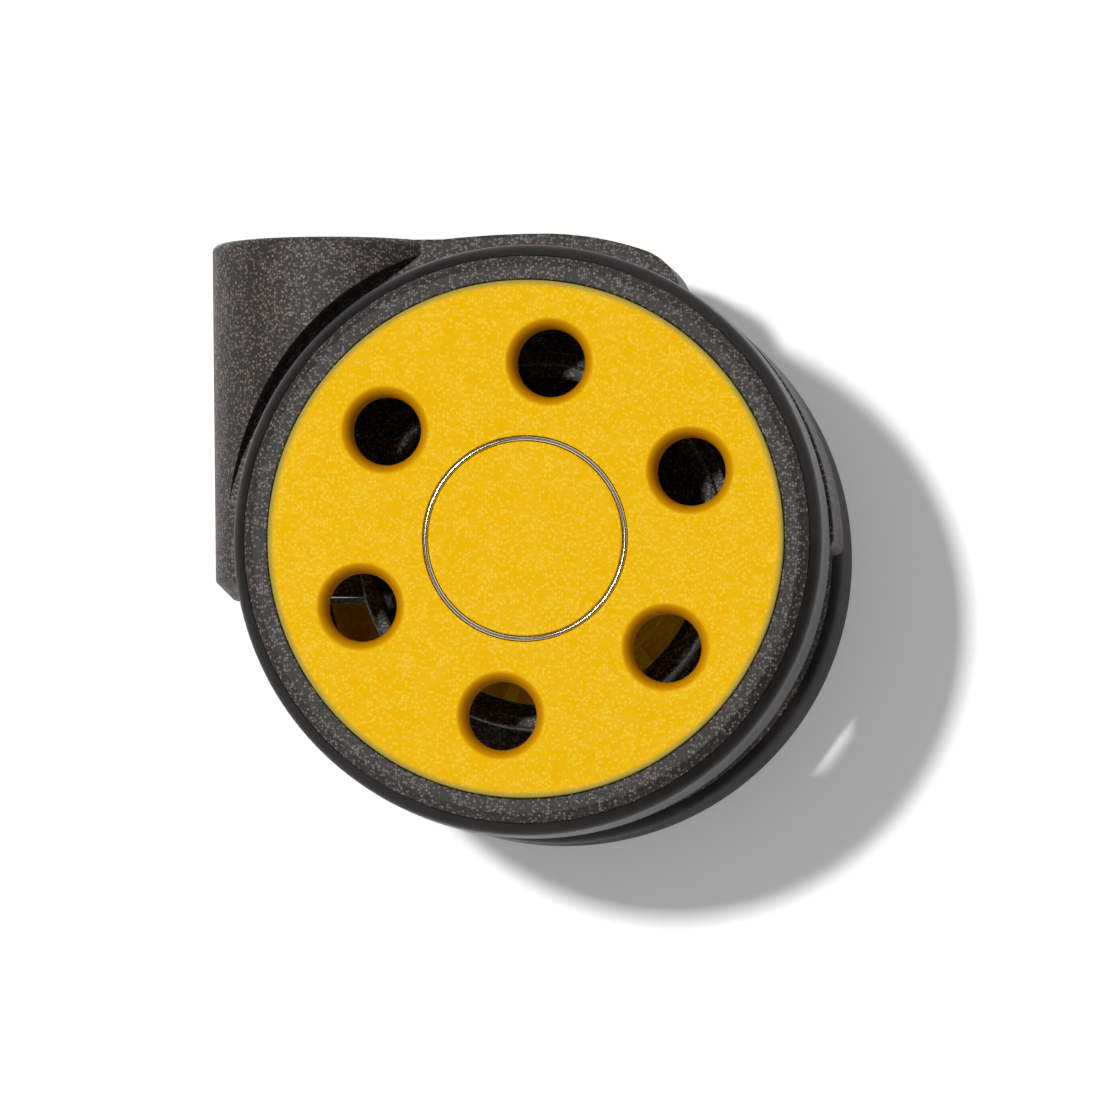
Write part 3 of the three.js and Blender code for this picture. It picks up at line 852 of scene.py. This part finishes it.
class CASTER_OT_wheel_discs(bpy.types.Operator):
    """Makes the two yellow discs with their holes, ribs, hub and cup"""

    bl_idname = "caster.wheel_discs"
    bl_label = "Wheel discs"

    def execute(self, context):
        sizes = context.scene.caster_wheels
        face = outward(DISC_LOW.y)
        inner_end = outward(BUSH_HIGH.y) + context.scene.caster_socket.bush_flange
        skirt_end = outward(RIM_HIGH.y) + sizes.rim_flange + RUNNING_GAP
        hub_bore = AXLE_RADIUS + RUNNING_GAP + context.scene.caster_socket.bush_wall + HAIR
        hub_outer = hub_bore + sizes.hub_wall
        cup_inner = RING_RADIUS + sizes.joint_line
        cup_outer = cup_inner + sizes.cup_wall + 0.0002
        cup_floor = face - sizes.cup_depth
        plate_back = face - sizes.disc_thickness
        skirt_inner = DISC_RADIUS - sizes.skirt_wall
        outer = SEAT_RADIUS - sizes.joint_line
        corners = [
            (hub_bore, inner_end, 0.0002),
            (hub_outer, inner_end, 0.0003),
            (hub_outer, cup_floor - sizes.cup_wall, 0.0005),
            (cup_outer, cup_floor - sizes.cup_wall, 0.0005),
            (cup_outer, plate_back, 0.0004),
            (skirt_inner, plate_back, 0.0005),
            (skirt_inner, skirt_end, 0.0002),
            (outer, skirt_end, 0.0002),
            (outer, face, sizes.disc_edge),
            (cup_inner, face, 0.00012),
            (cup_inner, cup_floor, 0.0001),
            (hub_bore, cup_floor, 0.0002),
        ]
        mouth = sizes.hole_radius + sizes.hole_lip
        steps = 10
        hole = [Vector((0, plate_back - PAST)), Vector((sizes.hole_radius, plate_back - PAST))]
        for k in range(steps + 1):
            turn = math.pi / 2 * k / steps
            spread = sizes.hole_lip * (1 - math.cos(turn))
            height = face - sizes.hole_lip_depth * (1 - math.sin(turn))
            hole.append(Vector((sizes.hole_radius + spread, height)))
        hole[-1].y += 1e-6
        hole += [Vector((mouth, face + PAST)), Vector((0, face + PAST))]
        hole_profile = profile_object("hole_profile", hole, closed=False)
        for side in SIDES:
            name = f"{side}_disc_moulding"
            piece = profile_object(name, filleted(corners, steps=6))
            modifier = piece.modifiers.new("Disc", "NODES")
            modifier.node_group = tree_named("Caster wheel disc", build_wheel_disc)
            rib_run = skirt_inner - cup_outer + PAST
            set_inputs(
                modifier,
                {
                    "Flats": sizes.flats,
                    "Hole flats": HOLE_FLATS,
                    "Swing": SWING,
                    "Crease": CREASE,
                    "Hole profile": hole_profile,
                    "Holes": sizes.hole_count,
                    "Pitch radius": sizes.hole_pitch,
                    "Hole phase": math.pi / 2 - sizes.hole_phase,
                    "Rib size": (rib_run, sizes.rib_thickness, sizes.rib_height + PAST),
                    "Rib place": (
                        (skirt_inner + cup_outer) / 2,
                        0.0,
                        plate_back + (PAST - sizes.rib_height) / 2,
                    ),
                    "Centre": (AXLE_X, 0.0, AXLE_Z),
                    "Turn": wheel_turn(side),
                    "Finish": finish_of("yellow_textured", context),
                },
            )
            weigh_normals(piece)
            settle(piece, name)
            fit_piece(piece, f"{side}_wheel", "yellow_textured", f"{side}_wheel_disc")
        discard(hole_profile)
        return {"FINISHED"}


def rim_shoulder(rounding):
    """The rim's rounded edge as (radius, distance behind the face), inwards from its largest radius."""
    end = Vector((FLANGE_RADIUS, rounding))
    pull = Vector((FLANGE_RADIUS - rounding, 0))
    start = Vector((FLANGE_RADIUS - 1.4 * rounding, 0))
    return [end, *bend(end, pull, start, 7), start]


class CASTER_OT_rims(bpy.types.Operator):
    """Makes the two black rims that carry the treads"""

    bl_idname = "caster.rims"
    bl_label = "Rims"

    def execute(self, context):
        sizes = context.scene.caster_wheels
        face = outward(RIM_LOW.y)
        inside = outward(RIM_HIGH.y)
        inner = SEAT_RADIUS
        lip = DISC_RADIUS - sizes.skirt_wall
        groove = inner + sizes.rim_wall
        flange = sizes.rim_flange
        rounding = sizes.rim_rounding
        shoulder = [(radius, face - inset, 0.0) for radius, inset in rim_shoulder(rounding)]
        foot = [(radius, inside + inset, 0.0) for radius, inset in reversed(rim_shoulder(rounding))]
        corners = [
            (lip, inside, 0.0004),
            *foot,
            (FLANGE_RADIUS, inside + flange, 0.0),
            (groove, inside + flange, 0.0002),
            (groove, face - flange, 0.0002),
            (FLANGE_RADIUS, face - flange, 0.0),
            *shoulder,
            (inner, face, 0.00015),
            (inner, inside + flange, 0.0002),
            (lip, inside + flange, 0.0004),
        ]
        for side in SIDES:
            piece = turned_piece(
                context, f"{side}_rim_moulding", corners, side=side, slot="black_textured", flats=sizes.flats
            )
            fit_piece(piece, f"{side}_wheel", "black_textured", f"{side}_rim")
        return {"FINISHED"}


class CASTER_OT_treads(bpy.types.Operator):
    """Makes the two smooth treads, with rounded shoulders and a slight crown"""

    bl_idname = "caster.treads"
    bl_label = "Treads"

    def execute(self, context):
        sizes = context.scene.caster_wheels
        low = outward(TREAD_HIGH.y)
        high = outward(TREAD_LOW.y)
        edge = FLANGE_RADIUS + sizes.joint_line
        groove = SEAT_RADIUS + sizes.joint_line + sizes.rim_wall
        shoulder_radius = WHEEL_RADIUS - sizes.tread_crown
        steps = 9
        slope = math.sqrt(0.5)

        def shoulder(start, direction):
            """Carries the slope of the rim's edge on to the crown."""
            points = []
            for k in range(steps + 1):
                turn = math.pi / 4 * (1 + k / steps)
                rise = (math.sin(turn) - slope) / (1 - slope)
                run = sizes.tread_shoulder * (1 - math.cos(turn) / slope)
                points.append((edge + (shoulder_radius - edge) * rise, start + direction * run, 0.0))
            return points

        crown = []
        first, last = low + sizes.tread_shoulder, high - sizes.tread_shoulder
        for k in range(1, 12):
            place = k / 12
            rise = sizes.tread_crown * 4 * place * (1 - place)
            crown.append((shoulder_radius + rise, first + (last - first) * place, 0.0))
        flange = sizes.rim_flange
        outer = shoulder(low, 1) + crown + list(reversed(shoulder(high, -1)))
        inner = [
            (edge, outward(RIM_LOW.y) - flange, 0.0),
            (groove, outward(RIM_LOW.y) - flange, 0.0),
            (groove, outward(RIM_HIGH.y) + flange, 0.0),
            (edge, outward(RIM_HIGH.y) + flange, 0.0),
        ]
        for side in SIDES:
            piece = turned_piece(
                context, f"{side}_tread_band", outer + inner, side=side, slot="tread_soft", flats=sizes.flats
            )
            fit_piece(piece, f"{side}_wheel", "tread_soft", f"{side}_tread")
        return {"FINISHED"}


class CASTER_OT_centre_caps(bpy.types.Operator):
    """Makes the bright rings and the plain caps in the middle of the discs"""

    bl_idname = "caster.centre_caps"
    bl_label = "Centre caps and rings"

    def execute(self, context):
        sizes = context.scene.caster_wheels
        face = outward(RING_LOW.y)
        floor = outward(RING_HIGH.y)
        inner = RING_RADIUS - sizes.ring_width
        cap = inner - sizes.joint_line
        seat = 0.0005  # thickness of the ring's inner flange, which the cap stands on
        ring_face = face - 0.00008
        ring = [
            (inner - sizes.cap_wall, floor, 0.0001),
            (RING_RADIUS, floor, 0.0001),
            (RING_RADIUS, ring_face, 0.00022),
            (inner, ring_face, 0.00022),
            (inner, floor + seat, 0.0001),
            (inner - sizes.cap_wall, floor + seat, 0.0001),
        ]
        cover = [
            (0.0, face - sizes.cap_plate, 0.0),
            (cap - sizes.cap_wall, face - sizes.cap_plate, 0.0003),
            (cap - sizes.cap_wall, floor + seat, 0.0001),
            (cap, floor + seat, 0.0001),
            (cap, face, 0.0002),
            (0.0, face, 0.0),
        ]
        for side in SIDES:
            piece = turned_piece(
                context, f"{side}_bright_ring", ring, side=side, slot="chrome_trim", flats=sizes.flats
            )
            fit_piece(piece, f"{side}_wheel", "chrome_trim", f"{side}_trim_ring")
            piece = turned_piece(
                context,
                f"{side}_plain_cap",
                cover,
                closed=False,
                side=side,
                slot="yellow_textured",
                flats=sizes.flats,
            )
            fit_piece(piece, f"{side}_wheel", "yellow_textured", f"{side}_centre_cap")
        return {"FINISHED"}


class CASTER_OT_axle_parts(bpy.types.Operator):
    """Makes the axle and what sits on it: thrust washers, hub bushes and push nuts"""

    bl_idname = "caster.axle_parts"
    bl_label = "Axle parts"

    def execute(self, context):
        sizes = context.scene.caster_socket
        end = AXLE_HIGH.y
        chamfer = sizes.axle_chamfer
        axle = [
            (0.0, -end, 0.0),
            (AXLE_RADIUS - chamfer, -end, 0.0001),
            (AXLE_RADIUS, chamfer - end, 0.0001),
            (AXLE_RADIUS, end - chamfer, 0.0001),
            (AXLE_RADIUS - chamfer, end, 0.0001),
            (0.0, end, 0.0),
        ]
        piece = turned_piece(context, "axle_pin", axle, closed=False)
        fit_piece(piece, "hood", "steel", "axle")
        bore = AXLE_RADIUS + sizes.press
        bush_bore = AXLE_RADIUS + 0.0001
        washer_radius = (THRUST_HIGH.z - THRUST_LOW.z) / 2
        nut_radius = (NUT_HIGH.z - NUT_LOW.z) / 2
        bush_flange_radius = (BUSH_HIGH.z - BUSH_LOW.z) / 2
        bush_radius = bush_bore + sizes.bush_wall + 0.0002
        washer = tube(bore, washer_radius, outward(THRUST_HIGH.y), outward(THRUST_LOW.y), 0.0001)
        nut = tube(bore, nut_radius, outward(NUT_HIGH.y), outward(NUT_LOW.y), 0.0001)
        inside = outward(BUSH_HIGH.y)
        outside = outward(BUSH_LOW.y)
        bush = [
            (bush_bore, inside, 0.00015),
            (bush_flange_radius, inside, 0.00015),
            (bush_flange_radius, inside + sizes.bush_flange - HAIR, 0.0001),
            (bush_radius, inside + sizes.bush_flange - HAIR, 0.0),
            (bush_radius, outside, 0.0001),
            (bush_bore, outside, 0.0001),
        ]
        for side in SIDES:
            piece = turned_piece(context, f"{side}_thrust_ring", washer, side=side, slot="acetal")
            fit_piece(piece, "hood", "acetal", f"{side}_thrust_washer")
            piece = turned_piece(context, f"{side}_retaining_nut", nut, side=side)
            fit_piece(piece, "hood", "steel", f"{side}_push_nut")
            piece = turned_piece(context, f"{side}_bearing_bush", bush, side=side, slot="acetal")
            fit_piece(piece, f"{side}_wheel", "acetal", f"{side}_hub_bush")
        return {"FINISHED"}


class CASTER_OT_stem_socket(bpy.types.Operator):
    """Makes the stem sleeve with its flange and rolled end, its bushes and its washer"""

    bl_idname = "caster.stem_socket"
    bl_label = "Stem socket"

    def execute(self, context):
        sizes = context.scene.caster_socket
        bore = sizes.bore
        outer = bore + sizes.sleeve_wall
        flange_radius = SLEEVE_HIGH.x
        rolled_radius = outer + 0.00075
        bottom = SLEEVE_LOW.z
        sleeve = [
            (bore, bottom, 0.0003),
            (rolled_radius, bottom, 0.0003),
            (rolled_radius, bottom + sizes.rolled_end, 0.00025),
            (outer, bottom + sizes.rolled_end, 0.0001),
            (outer, -sizes.flange, 0.0003),
            (flange_radius, -sizes.flange, 0.0003),
            (flange_radius, 0.0, 0.0003),
            (bore, 0.0, 0.0006),
        ]
        piece = turned_piece(context, "sleeve_tube", sleeve, upright=True, flats=SOCKET_FLATS)
        fit_piece(piece, "socket", "steel", "stem_sleeve")
        inner = outer + sizes.fit * 0.4
        bush_radius = WASHER_HIGH.x
        washer = tube(inner, bush_radius, WASHER_LOW.z, WASHER_HIGH.z, 0.0001)
        piece = turned_piece(context, "sleeve_washer", washer, upright=True, flats=SOCKET_FLATS)
        fit_piece(piece, "socket", "steel", "retaining_washer")
        lower = tube(inner, LOWER_HIGH.x, LOWER_LOW.z, LOWER_HIGH.z, 0.0002)
        piece = turned_piece(context, "lower_bush", lower, upright=True, slot="acetal", flats=SOCKET_FLATS)
        fit_piece(piece, "hood", "acetal", "lower_swivel_bush")
        upper = [
            (inner, UPPER_LOW.z, 0.0002),
            (bush_radius, UPPER_LOW.z, 0.0002),
            (bush_radius, UPPER_HIGH.z - sizes.upper_flange, 0.0001),
            (UPPER_HIGH.x, UPPER_HIGH.z - sizes.upper_flange, 0.0001),
            (UPPER_HIGH.x, UPPER_HIGH.z, 0.0002),
            (inner, UPPER_HIGH.z, 0.0002),
        ]
        piece = turned_piece(context, "upper_bush", upper, upright=True, slot="acetal", flats=SOCKET_FLATS)
        fit_piece(piece, "hood", "acetal", "upper_swivel_bush")
        return {"FINISHED"}


# ---- The hood ----


def arc(radius, start, end, steps):
    """Points on a circle about the axle, from one angle to another."""
    points = []
    for k in range(steps + 1):
        turn = start + (end - start) * k / steps
        points.append(Vector((radius * math.cos(turn), radius * math.sin(turn))))
    return points


def hood_outline(sizes):
    """The hood's side view about the axle, clockwise from the swivel axis."""
    barrel = BARREL_RADIUS
    top = -AXLE_Z
    crown = top + sizes.crown_rise
    crown_start = Vector((barrel - AXLE_X, top))
    corner_radius = WHEEL_RADIUS + sizes.crown_rise / 2
    corner = Vector((math.cos(sizes.corner_end), math.sin(sizes.corner_end))) * corner_radius
    top_arc = arc(crown, math.pi / 2, sizes.arc_end, 24)
    arc_end = top_arc[-1]
    run = (corner.x - arc_end.x) * CORNER_PULL[0]
    drop = (arc_end.y - corner.y) * CORNER_PULL[1]
    pull = Vector((arc_end.x + run, arc_end.y - drop))
    points = [Vector((-AXLE_X, top)), crown_start]
    points += bend(crown_start, Vector((crown_start.x / 2, crown)), Vector((0, crown)), 14)
    points += top_arc
    points += bend(arc_end, pull, corner, 14) + [corner]
    points += arc(WHEEL_RADIUS, sizes.fender_start, sizes.fender_end, 56)
    low = -sizes.fender_drop
    tip = points[-1]
    points += bend(tip, Vector((WHEEL_RADIUS, low)), Vector((WHEEL_RADIUS - FENDER_ROUNDING, low)), 8)
    points += [Vector((WHEEL_RADIUS - FENDER_ROUNDING, low)), Vector((-AXLE_X, low))]
    return points


def offset_outline(points, distance):
    """An outline moved inwards by a distance; the outline runs clockwise."""
    moved = []
    count = len(points)
    for i, here in enumerate(points):
        before = (here - points[i - 1]).normalized()
        after = (points[(i + 1) % count] - here).normalized()
        inward = Vector((before.y + after.y, -before.x - after.x))
        if inward.length < 1e-6:
            inward = Vector((before.y, -before.x))
        inward.normalize()
        lean = max(0.35, inward.dot(Vector((before.y, -before.x))))
        moved.append(here + inward * distance / lean)
    return moved


def plate(name, outline, low, high, rounding=0.0, steps=5):
    """A plate in the plane of the wheels, between two places along Y, with rounded edges."""
    levels = []
    if rounding > 0:
        for k in range(steps + 1):
            turn = math.pi / 2 * k / steps
            levels.append((rounding * (1 - math.sin(turn)), low + rounding * (1 - math.cos(turn))))
        levels += [(inset, low + high - level) for inset, level in reversed(levels)]
    else:
        levels = [(0.0, low), (0.0, high)]
    vertices = []
    for inset, level in levels:
        ring = offset_outline(outline, inset) if inset else outline
        vertices += [(AXLE_X + point.x, level, AXLE_Z + point.y) for point in ring]
    count = len(outline)
    faces = [tuple(range(count - 1, -1, -1))]
    for row in range(len(levels) - 1):
        for i in range(count):
            a, b = row * count + i, row * count + (i + 1) % count
            faces.append((a, b, b + count, a + count))
    faces.append(tuple(range((len(levels) - 1) * count, len(levels) * count)))
    mesh = bpy.data.meshes.new(name)
    mesh.from_pydata(vertices, [], faces)
    mesh.validate()
    return linked_object(name, mesh)


def sector(inner, outer, start, end):
    """A piece of a ring about the axle, clockwise."""
    steps = max(6, int(abs(end - start) / math.radians(2)))
    return arc(outer, end, start, steps) + arc(inner, start, end, steps)


def lathe(context, name, corners, upright=False, closed=False, flats=HOOD_FLATS):
    return turned_piece(
        context, name, corners, closed=closed, upright=upright, slot="black_textured", flats=flats
    )


def combine(piece, operation, tools):
    """Joins tools to a piece or cuts them from it, and removes them."""
    for tool in tools:
        modifier = piece.modifiers.new("Combine", "BOOLEAN")
        modifier.object = tool
        modifier.operation = operation
        modifier.solver = "MANIFOLD"
    settle(piece, piece.name)
    discard(*tools)


def rod(radius, low, high):
    return [(0.0, low, 0.0), (radius, low, 0.0), (radius, high, 0.0), (0.0, high, 0.0)]


class CASTER_OT_hood(bpy.types.Operator):
    """Makes the black hood: barrel, arc, fender, round web, hoop and hub"""

    bl_idname = "caster.hood"
    bl_label = "Hood"

    def execute(self, context):
        sizes = context.scene.caster_hood
        half = sizes.half
        bottom = -sizes.barrel_length
        lower_radius = BARREL_RADIUS - sizes.barrel_draft
        barrel = lathe(
            context,
            "hood_body",
            [
                (0.0, bottom, 0.0),
                (lower_radius - sizes.barrel_chamfer, bottom, 0.0003),
                (lower_radius, bottom + sizes.barrel_chamfer, 0.0006),
                (BARREL_RADIUS, 0.0, sizes.barrel_top),
                (0.0, 0.0, 0.0),
            ],
            upright=True,
        )
        wells = [
            lathe(context, f"well_{i}", rod(sizes.well_radius, *span), flats=192)
            for i, span in enumerate([(-BARREL_RADIUS - PAST, -half), (half, BARREL_RADIUS + PAST)])
        ]
        combine(barrel, "DIFFERENCE", wells)

        slab = plate("slab", hood_outline(sizes), -half, half, sizes.edge)
        combine(barrel, "UNION", [slab])

        recesses = []
        for i, side in enumerate((-1, 1)):
            low, high = sorted((side * sizes.web_half, side * (half + PAST)))
            recesses.append(lathe(context, f"bowl_{i}", rod(sizes.hoop_inner, low, high)))
        for i, (start, end) in enumerate(POCKET_ANGLES):
            outline = sector(
                sizes.pocket_inner, sizes.pocket_outer, math.radians(start), math.radians(end)
            )
            for j, side in enumerate((-1, 1)):
                low, high = sorted((side * sizes.pocket_half, side * (half + PAST)))
                recesses.append(plate(f"pocket_{i}_{j}", outline, low, high))
        combine(barrel, "DIFFERENCE", recesses)

        web = lathe(context, "web", rod(sizes.web_radius, -sizes.web_half, sizes.web_half))
        windows = []
        window_inner = sizes.hub_radius + sizes.window_hub
        window_outer = sizes.hoop_inner - sizes.window_rim
        for i, (start, end) in enumerate(WINDOW_ANGLES):
            outline = sector(window_inner, window_outer, math.radians(start), math.radians(end))
            windows.append(plate(f"window_{i}", outline, -sizes.web_half - PAST, sizes.web_half + PAST))
        combine(web, "DIFFERENCE", windows)
        skirt_outline = sector(
            sizes.hoop_inner, sizes.hoop_outer + sizes.skirt_width, sizes.skirt_start, sizes.skirt_end
        )
        skirt = plate("web_skirt", skirt_outline, -sizes.web_half, sizes.web_half)
        hoop = lathe(
            context,
            "hoop",
            tube(sizes.hoop_inner, sizes.hoop_outer, -sizes.hoop_half, sizes.hoop_half, 0.0005),
            closed=True,
            flats=192,
        )
        hub_end = outward(THRUST_HIGH.y)
        hub = lathe(context, "hub", rod(sizes.hub_radius, -hub_end, hub_end))
        core = lathe(
            context,
            "core",
            rod(sizes.core_radius, bottom + sizes.barrel_chamfer, AXLE_Z / 2),
            upright=True,
        )
        combine(barrel, "UNION", [web, skirt, hoop, hub, core])

        socket = context.scene.caster_socket
        bore = socket.bore + socket.sleeve_wall + socket.fit
        seat = LOWER_HIGH.x + 0.00003
        flange_seat = UPPER_HIGH.x + 0.00005
        flange_floor = UPPER_HIGH.z - socket.upper_flange
        swivel = lathe(
            context,
            "swivel_bore",
            [
                (0.0, bottom - PAST, 0.0),
                (seat, bottom - PAST, 0.0),
                (seat, LOWER_HIGH.z, 0.0),
                (bore, LOWER_HIGH.z, 0.0),
                (bore, UPPER_LOW.z, 0.0),
                (seat, UPPER_LOW.z, 0.0),
                (seat, flange_floor, 0.0),
                (flange_seat, flange_floor, 0.0),
                (flange_seat, PAST, 0.0),
                (0.0, PAST, 0.0),
            ],
            upright=True,
            flats=SOCKET_FLATS,
        )
        axle_hole = rod(AXLE_RADIUS + socket.press, -hub_end - PAST, hub_end + PAST)
        axle_bore = lathe(context, "axle_bore", axle_hole)
        combine(barrel, "DIFFERENCE", [swivel, axle_bore])
        barrel.data.materials.clear()
        barrel.data.materials.append(finish_of("hood", context))
        smooth_by_angle(barrel)
        barrel.name = "hood_moulding"
        fit_piece(barrel, "hood", "black_textured", "hood")
        return {"FINISHED"}


def build_creasing(name):
    """Shades a joined piece smooth between its sharp edges."""
    graph = ShapeTree(name, {"Crease": "Float", "Finish": "Material"})
    creased = crease(graph, graph.start, graph.value("Crease"))
    real = graph.node("GeometryNodeRealizeInstances", sockets={"Geometry": creased})
    return graph.finish(
        graph.node("GeometryNodeSetMaterial", sockets={"Geometry": real, "Material": graph.value("Finish")})
    )


def smooth_by_angle(piece):
    modifier = piece.modifiers.new("Creasing", "NODES")
    modifier.node_group = tree_named("Caster creasing", build_creasing)
    finish = piece.data.materials[0]
    set_inputs(modifier, {"Crease": CREASE, "Finish": finish})
    weigh_normals(piece)
    settle(piece, piece.name)


# ---- The stage ----


def away_from_camera(stage):
    """The way the camera lies from the caster."""
    return Vector(
        (
            math.sin(stage.azimuth) * math.cos(stage.elevation),
            -math.cos(stage.azimuth) * math.cos(stage.elevation),
            math.sin(stage.elevation),
        )
    )


def aimed(place, direction):
    """A placing whose -Z looks along a direction, with +Z of the room up."""
    turn = direction.to_track_quat("-Z", "Y")
    return Matrix.Translation(place) @ turn.to_matrix().to_4x4()


def add_lamp(name, place, target, size, level):
    """A square lamp that gives a white surface facing it this share of white."""
    lamp = bpy.data.lights.new(name, "AREA")
    lamp.shape = "SQUARE"
    lamp.size = size
    lamp.energy = level * math.pi * math.pi * (target - place).length_squared
    lamp_object = bpy.data.objects.new(name, lamp)
    bpy.context.scene.collection.objects.link(lamp_object)
    lamp_object.matrix_world = aimed(place, target - place)
    return lamp_object


def floor_finish(glow):
    """White to the front, with a little glow for the camera; clear from behind and for lamps behind it."""
    material = bpy.data.materials.new("Floor white")
    material.use_nodes = True
    material.node_tree.nodes.clear()
    graph = Graph(material.node_tree)
    matt = graph.node("ShaderNodeBsdfDiffuse", sockets={"Color": (1.0, 1.0, 1.0, 1)})
    path = graph.node("ShaderNodeLightPath")
    lit = graph.node("ShaderNodeEmission", sockets={"Strength": path.out("Is Camera Ray") * glow})
    white = graph.node("ShaderNodeAddShader", sockets={0: matt, 1: lit})
    clear = graph.node("ShaderNodeBsdfTransparent")
    back = graph.node("ShaderNodeNewGeometry").out("Backfacing")
    passed = graph.node("ShaderNodeMath", {"operation": "MAXIMUM"}, {0: back, 1: path.out("Is Shadow Ray")})
    shader = graph.node("ShaderNodeMixShader", sockets={0: passed, 1: white, 2: clear})
    graph.node("ShaderNodeOutputMaterial", sockets={"Surface": shader})
    return material


def set_world(stage):
    """White where the camera looks; a dim room with white cards at two corners where metal looks."""
    world = bpy.data.worlds.new("Soft white")
    world.use_nodes = True
    world.node_tree.nodes.clear()
    graph = Graph(world.node_tree)
    path = graph.node("ShaderNodeLightPath")
    seen = path.out("Is Camera Ray")
    mirrored = path.out("Is Glossy Ray")
    direction = graph.node("ShaderNodeTexCoord").out("Generated")
    beyond_floor = graph.node("ShaderNodeSeparateXYZ", sockets={"Vector": direction}).out("Y").ramp(-0.1, 0.3)
    corners = (math.sin(stage.card_angle), 0, math.cos(stage.card_angle))
    across = graph.node("ShaderNodeVectorMath", {"operation": "DOT_PRODUCT"}, {0: direction, 1: corners}, 1)
    cards = graph.node("ShaderNodeMath", {"operation": "ABSOLUTE"}, {0: across}).ramp(0.5, 0.75)
    bright = graph.node("ShaderNodeMath", {"operation": "MAXIMUM"}, {0: beyond_floor, 1: cards})
    shine = bright * (1 - stage.dim_level) + stage.dim_level
    strength = seen + mirrored * shine + (1 - seen - mirrored) * stage.fill_level
    light = graph.node("ShaderNodeBackground", sockets={"Color": (1, 1, 1, 1), "Strength": strength})
    graph.node("ShaderNodeOutputWorld", sockets={"Surface": light})
    bpy.context.scene.world = world


class CASTER_OT_stage(bpy.types.Operator):
    """Makes the white floor that the caster lies on, the lamps, the sky and the camera"""

    bl_idname = "caster.stage"
    bl_label = "Stage"

    def execute(self, context):
        stage = context.scene.caster_stage
        middle = Vector((AXLE_X, 0, AXLE_Z))
        place = FLOOR_GAP - DISC_LOW.y
        mesh = bpy.data.meshes.new("floor")
        corners = [
            (x * FLOOR_REACH, place, z * FLOOR_REACH) for x, z in ((-1, -1), (1, -1), (1, 1), (-1, 1))
        ]
        mesh.from_pydata(corners, [], [(0, 1, 2, 3)])
        mesh.materials.append(floor_finish(stage.floor_glow))
        floor = linked_object("floor", mesh)

        front = middle - KEY_TRAVEL * stage.key_distance
        behind = middle + BACK_SIDE * stage.key_distance
        add_lamp("key", front, middle, stage.key_size, stage.key_level)
        add_lamp("back", behind, middle, BACK_LAMP_SIZE, stage.back_level)
        set_world(stage)

        camera = bpy.data.cameras.new("camera")
        camera.sensor_width = 36
        camera.lens = 36 * stage.distance / stage.width
        camera.clip_end = 100
        camera_object = bpy.data.objects.new("camera", camera)
        context.scene.collection.objects.link(camera_object)
        back = away_from_camera(stage)
        camera_object.matrix_world = aimed(AIM + back * stage.distance, -back)
        context.scene.camera = camera_object
        context.scene.view_settings.view_transform = "Standard"
        return {"FINISHED"}


OPERATORS = (
    CASTER_OT_stage,
    CASTER_OT_hood,
    CASTER_OT_wheel_discs,
    CASTER_OT_rims,
    CASTER_OT_treads,
    CASTER_OT_centre_caps,
    CASTER_OT_axle_parts,
    CASTER_OT_stem_socket,
)


class CASTER_PT_sidebar(bpy.types.Panel):
    """Sizes, colours and steps of the caster"""

    bl_idname = "CASTER_PT_sidebar"
    bl_label = "Swivel caster"
    bl_space_type = "VIEW_3D"
    bl_region_type = "UI"
    bl_category = "Caster"

    def draw(self, context):
        for operator in OPERATORS:
            self.layout.operator(operator.bl_idname)
        for name, group in GROUPS.items():
            box = self.layout.box()
            box.label(text=group.__name__)
            for key in group.__annotations__:
                box.prop(getattr(context.scene, name), key)


CLASSES = (*GROUPS.values(), *OPERATORS, CASTER_PT_sidebar)


def register():
    for item in CLASSES:
        bpy.utils.register_class(item)
    for name, group in GROUPS.items():
        setattr(bpy.types.Scene, name, PointerProperty(type=group))


def unregister():
    for name in GROUPS:
        delattr(bpy.types.Scene, name)
    for item in reversed(CLASSES):
        bpy.utils.unregister_class(item)


def main():
    register()
    for operator in OPERATORS:
        module, name = operator.bl_idname.split(".")
        getattr(getattr(bpy.ops, module), name)()


if __name__ == "__main__":
    main()
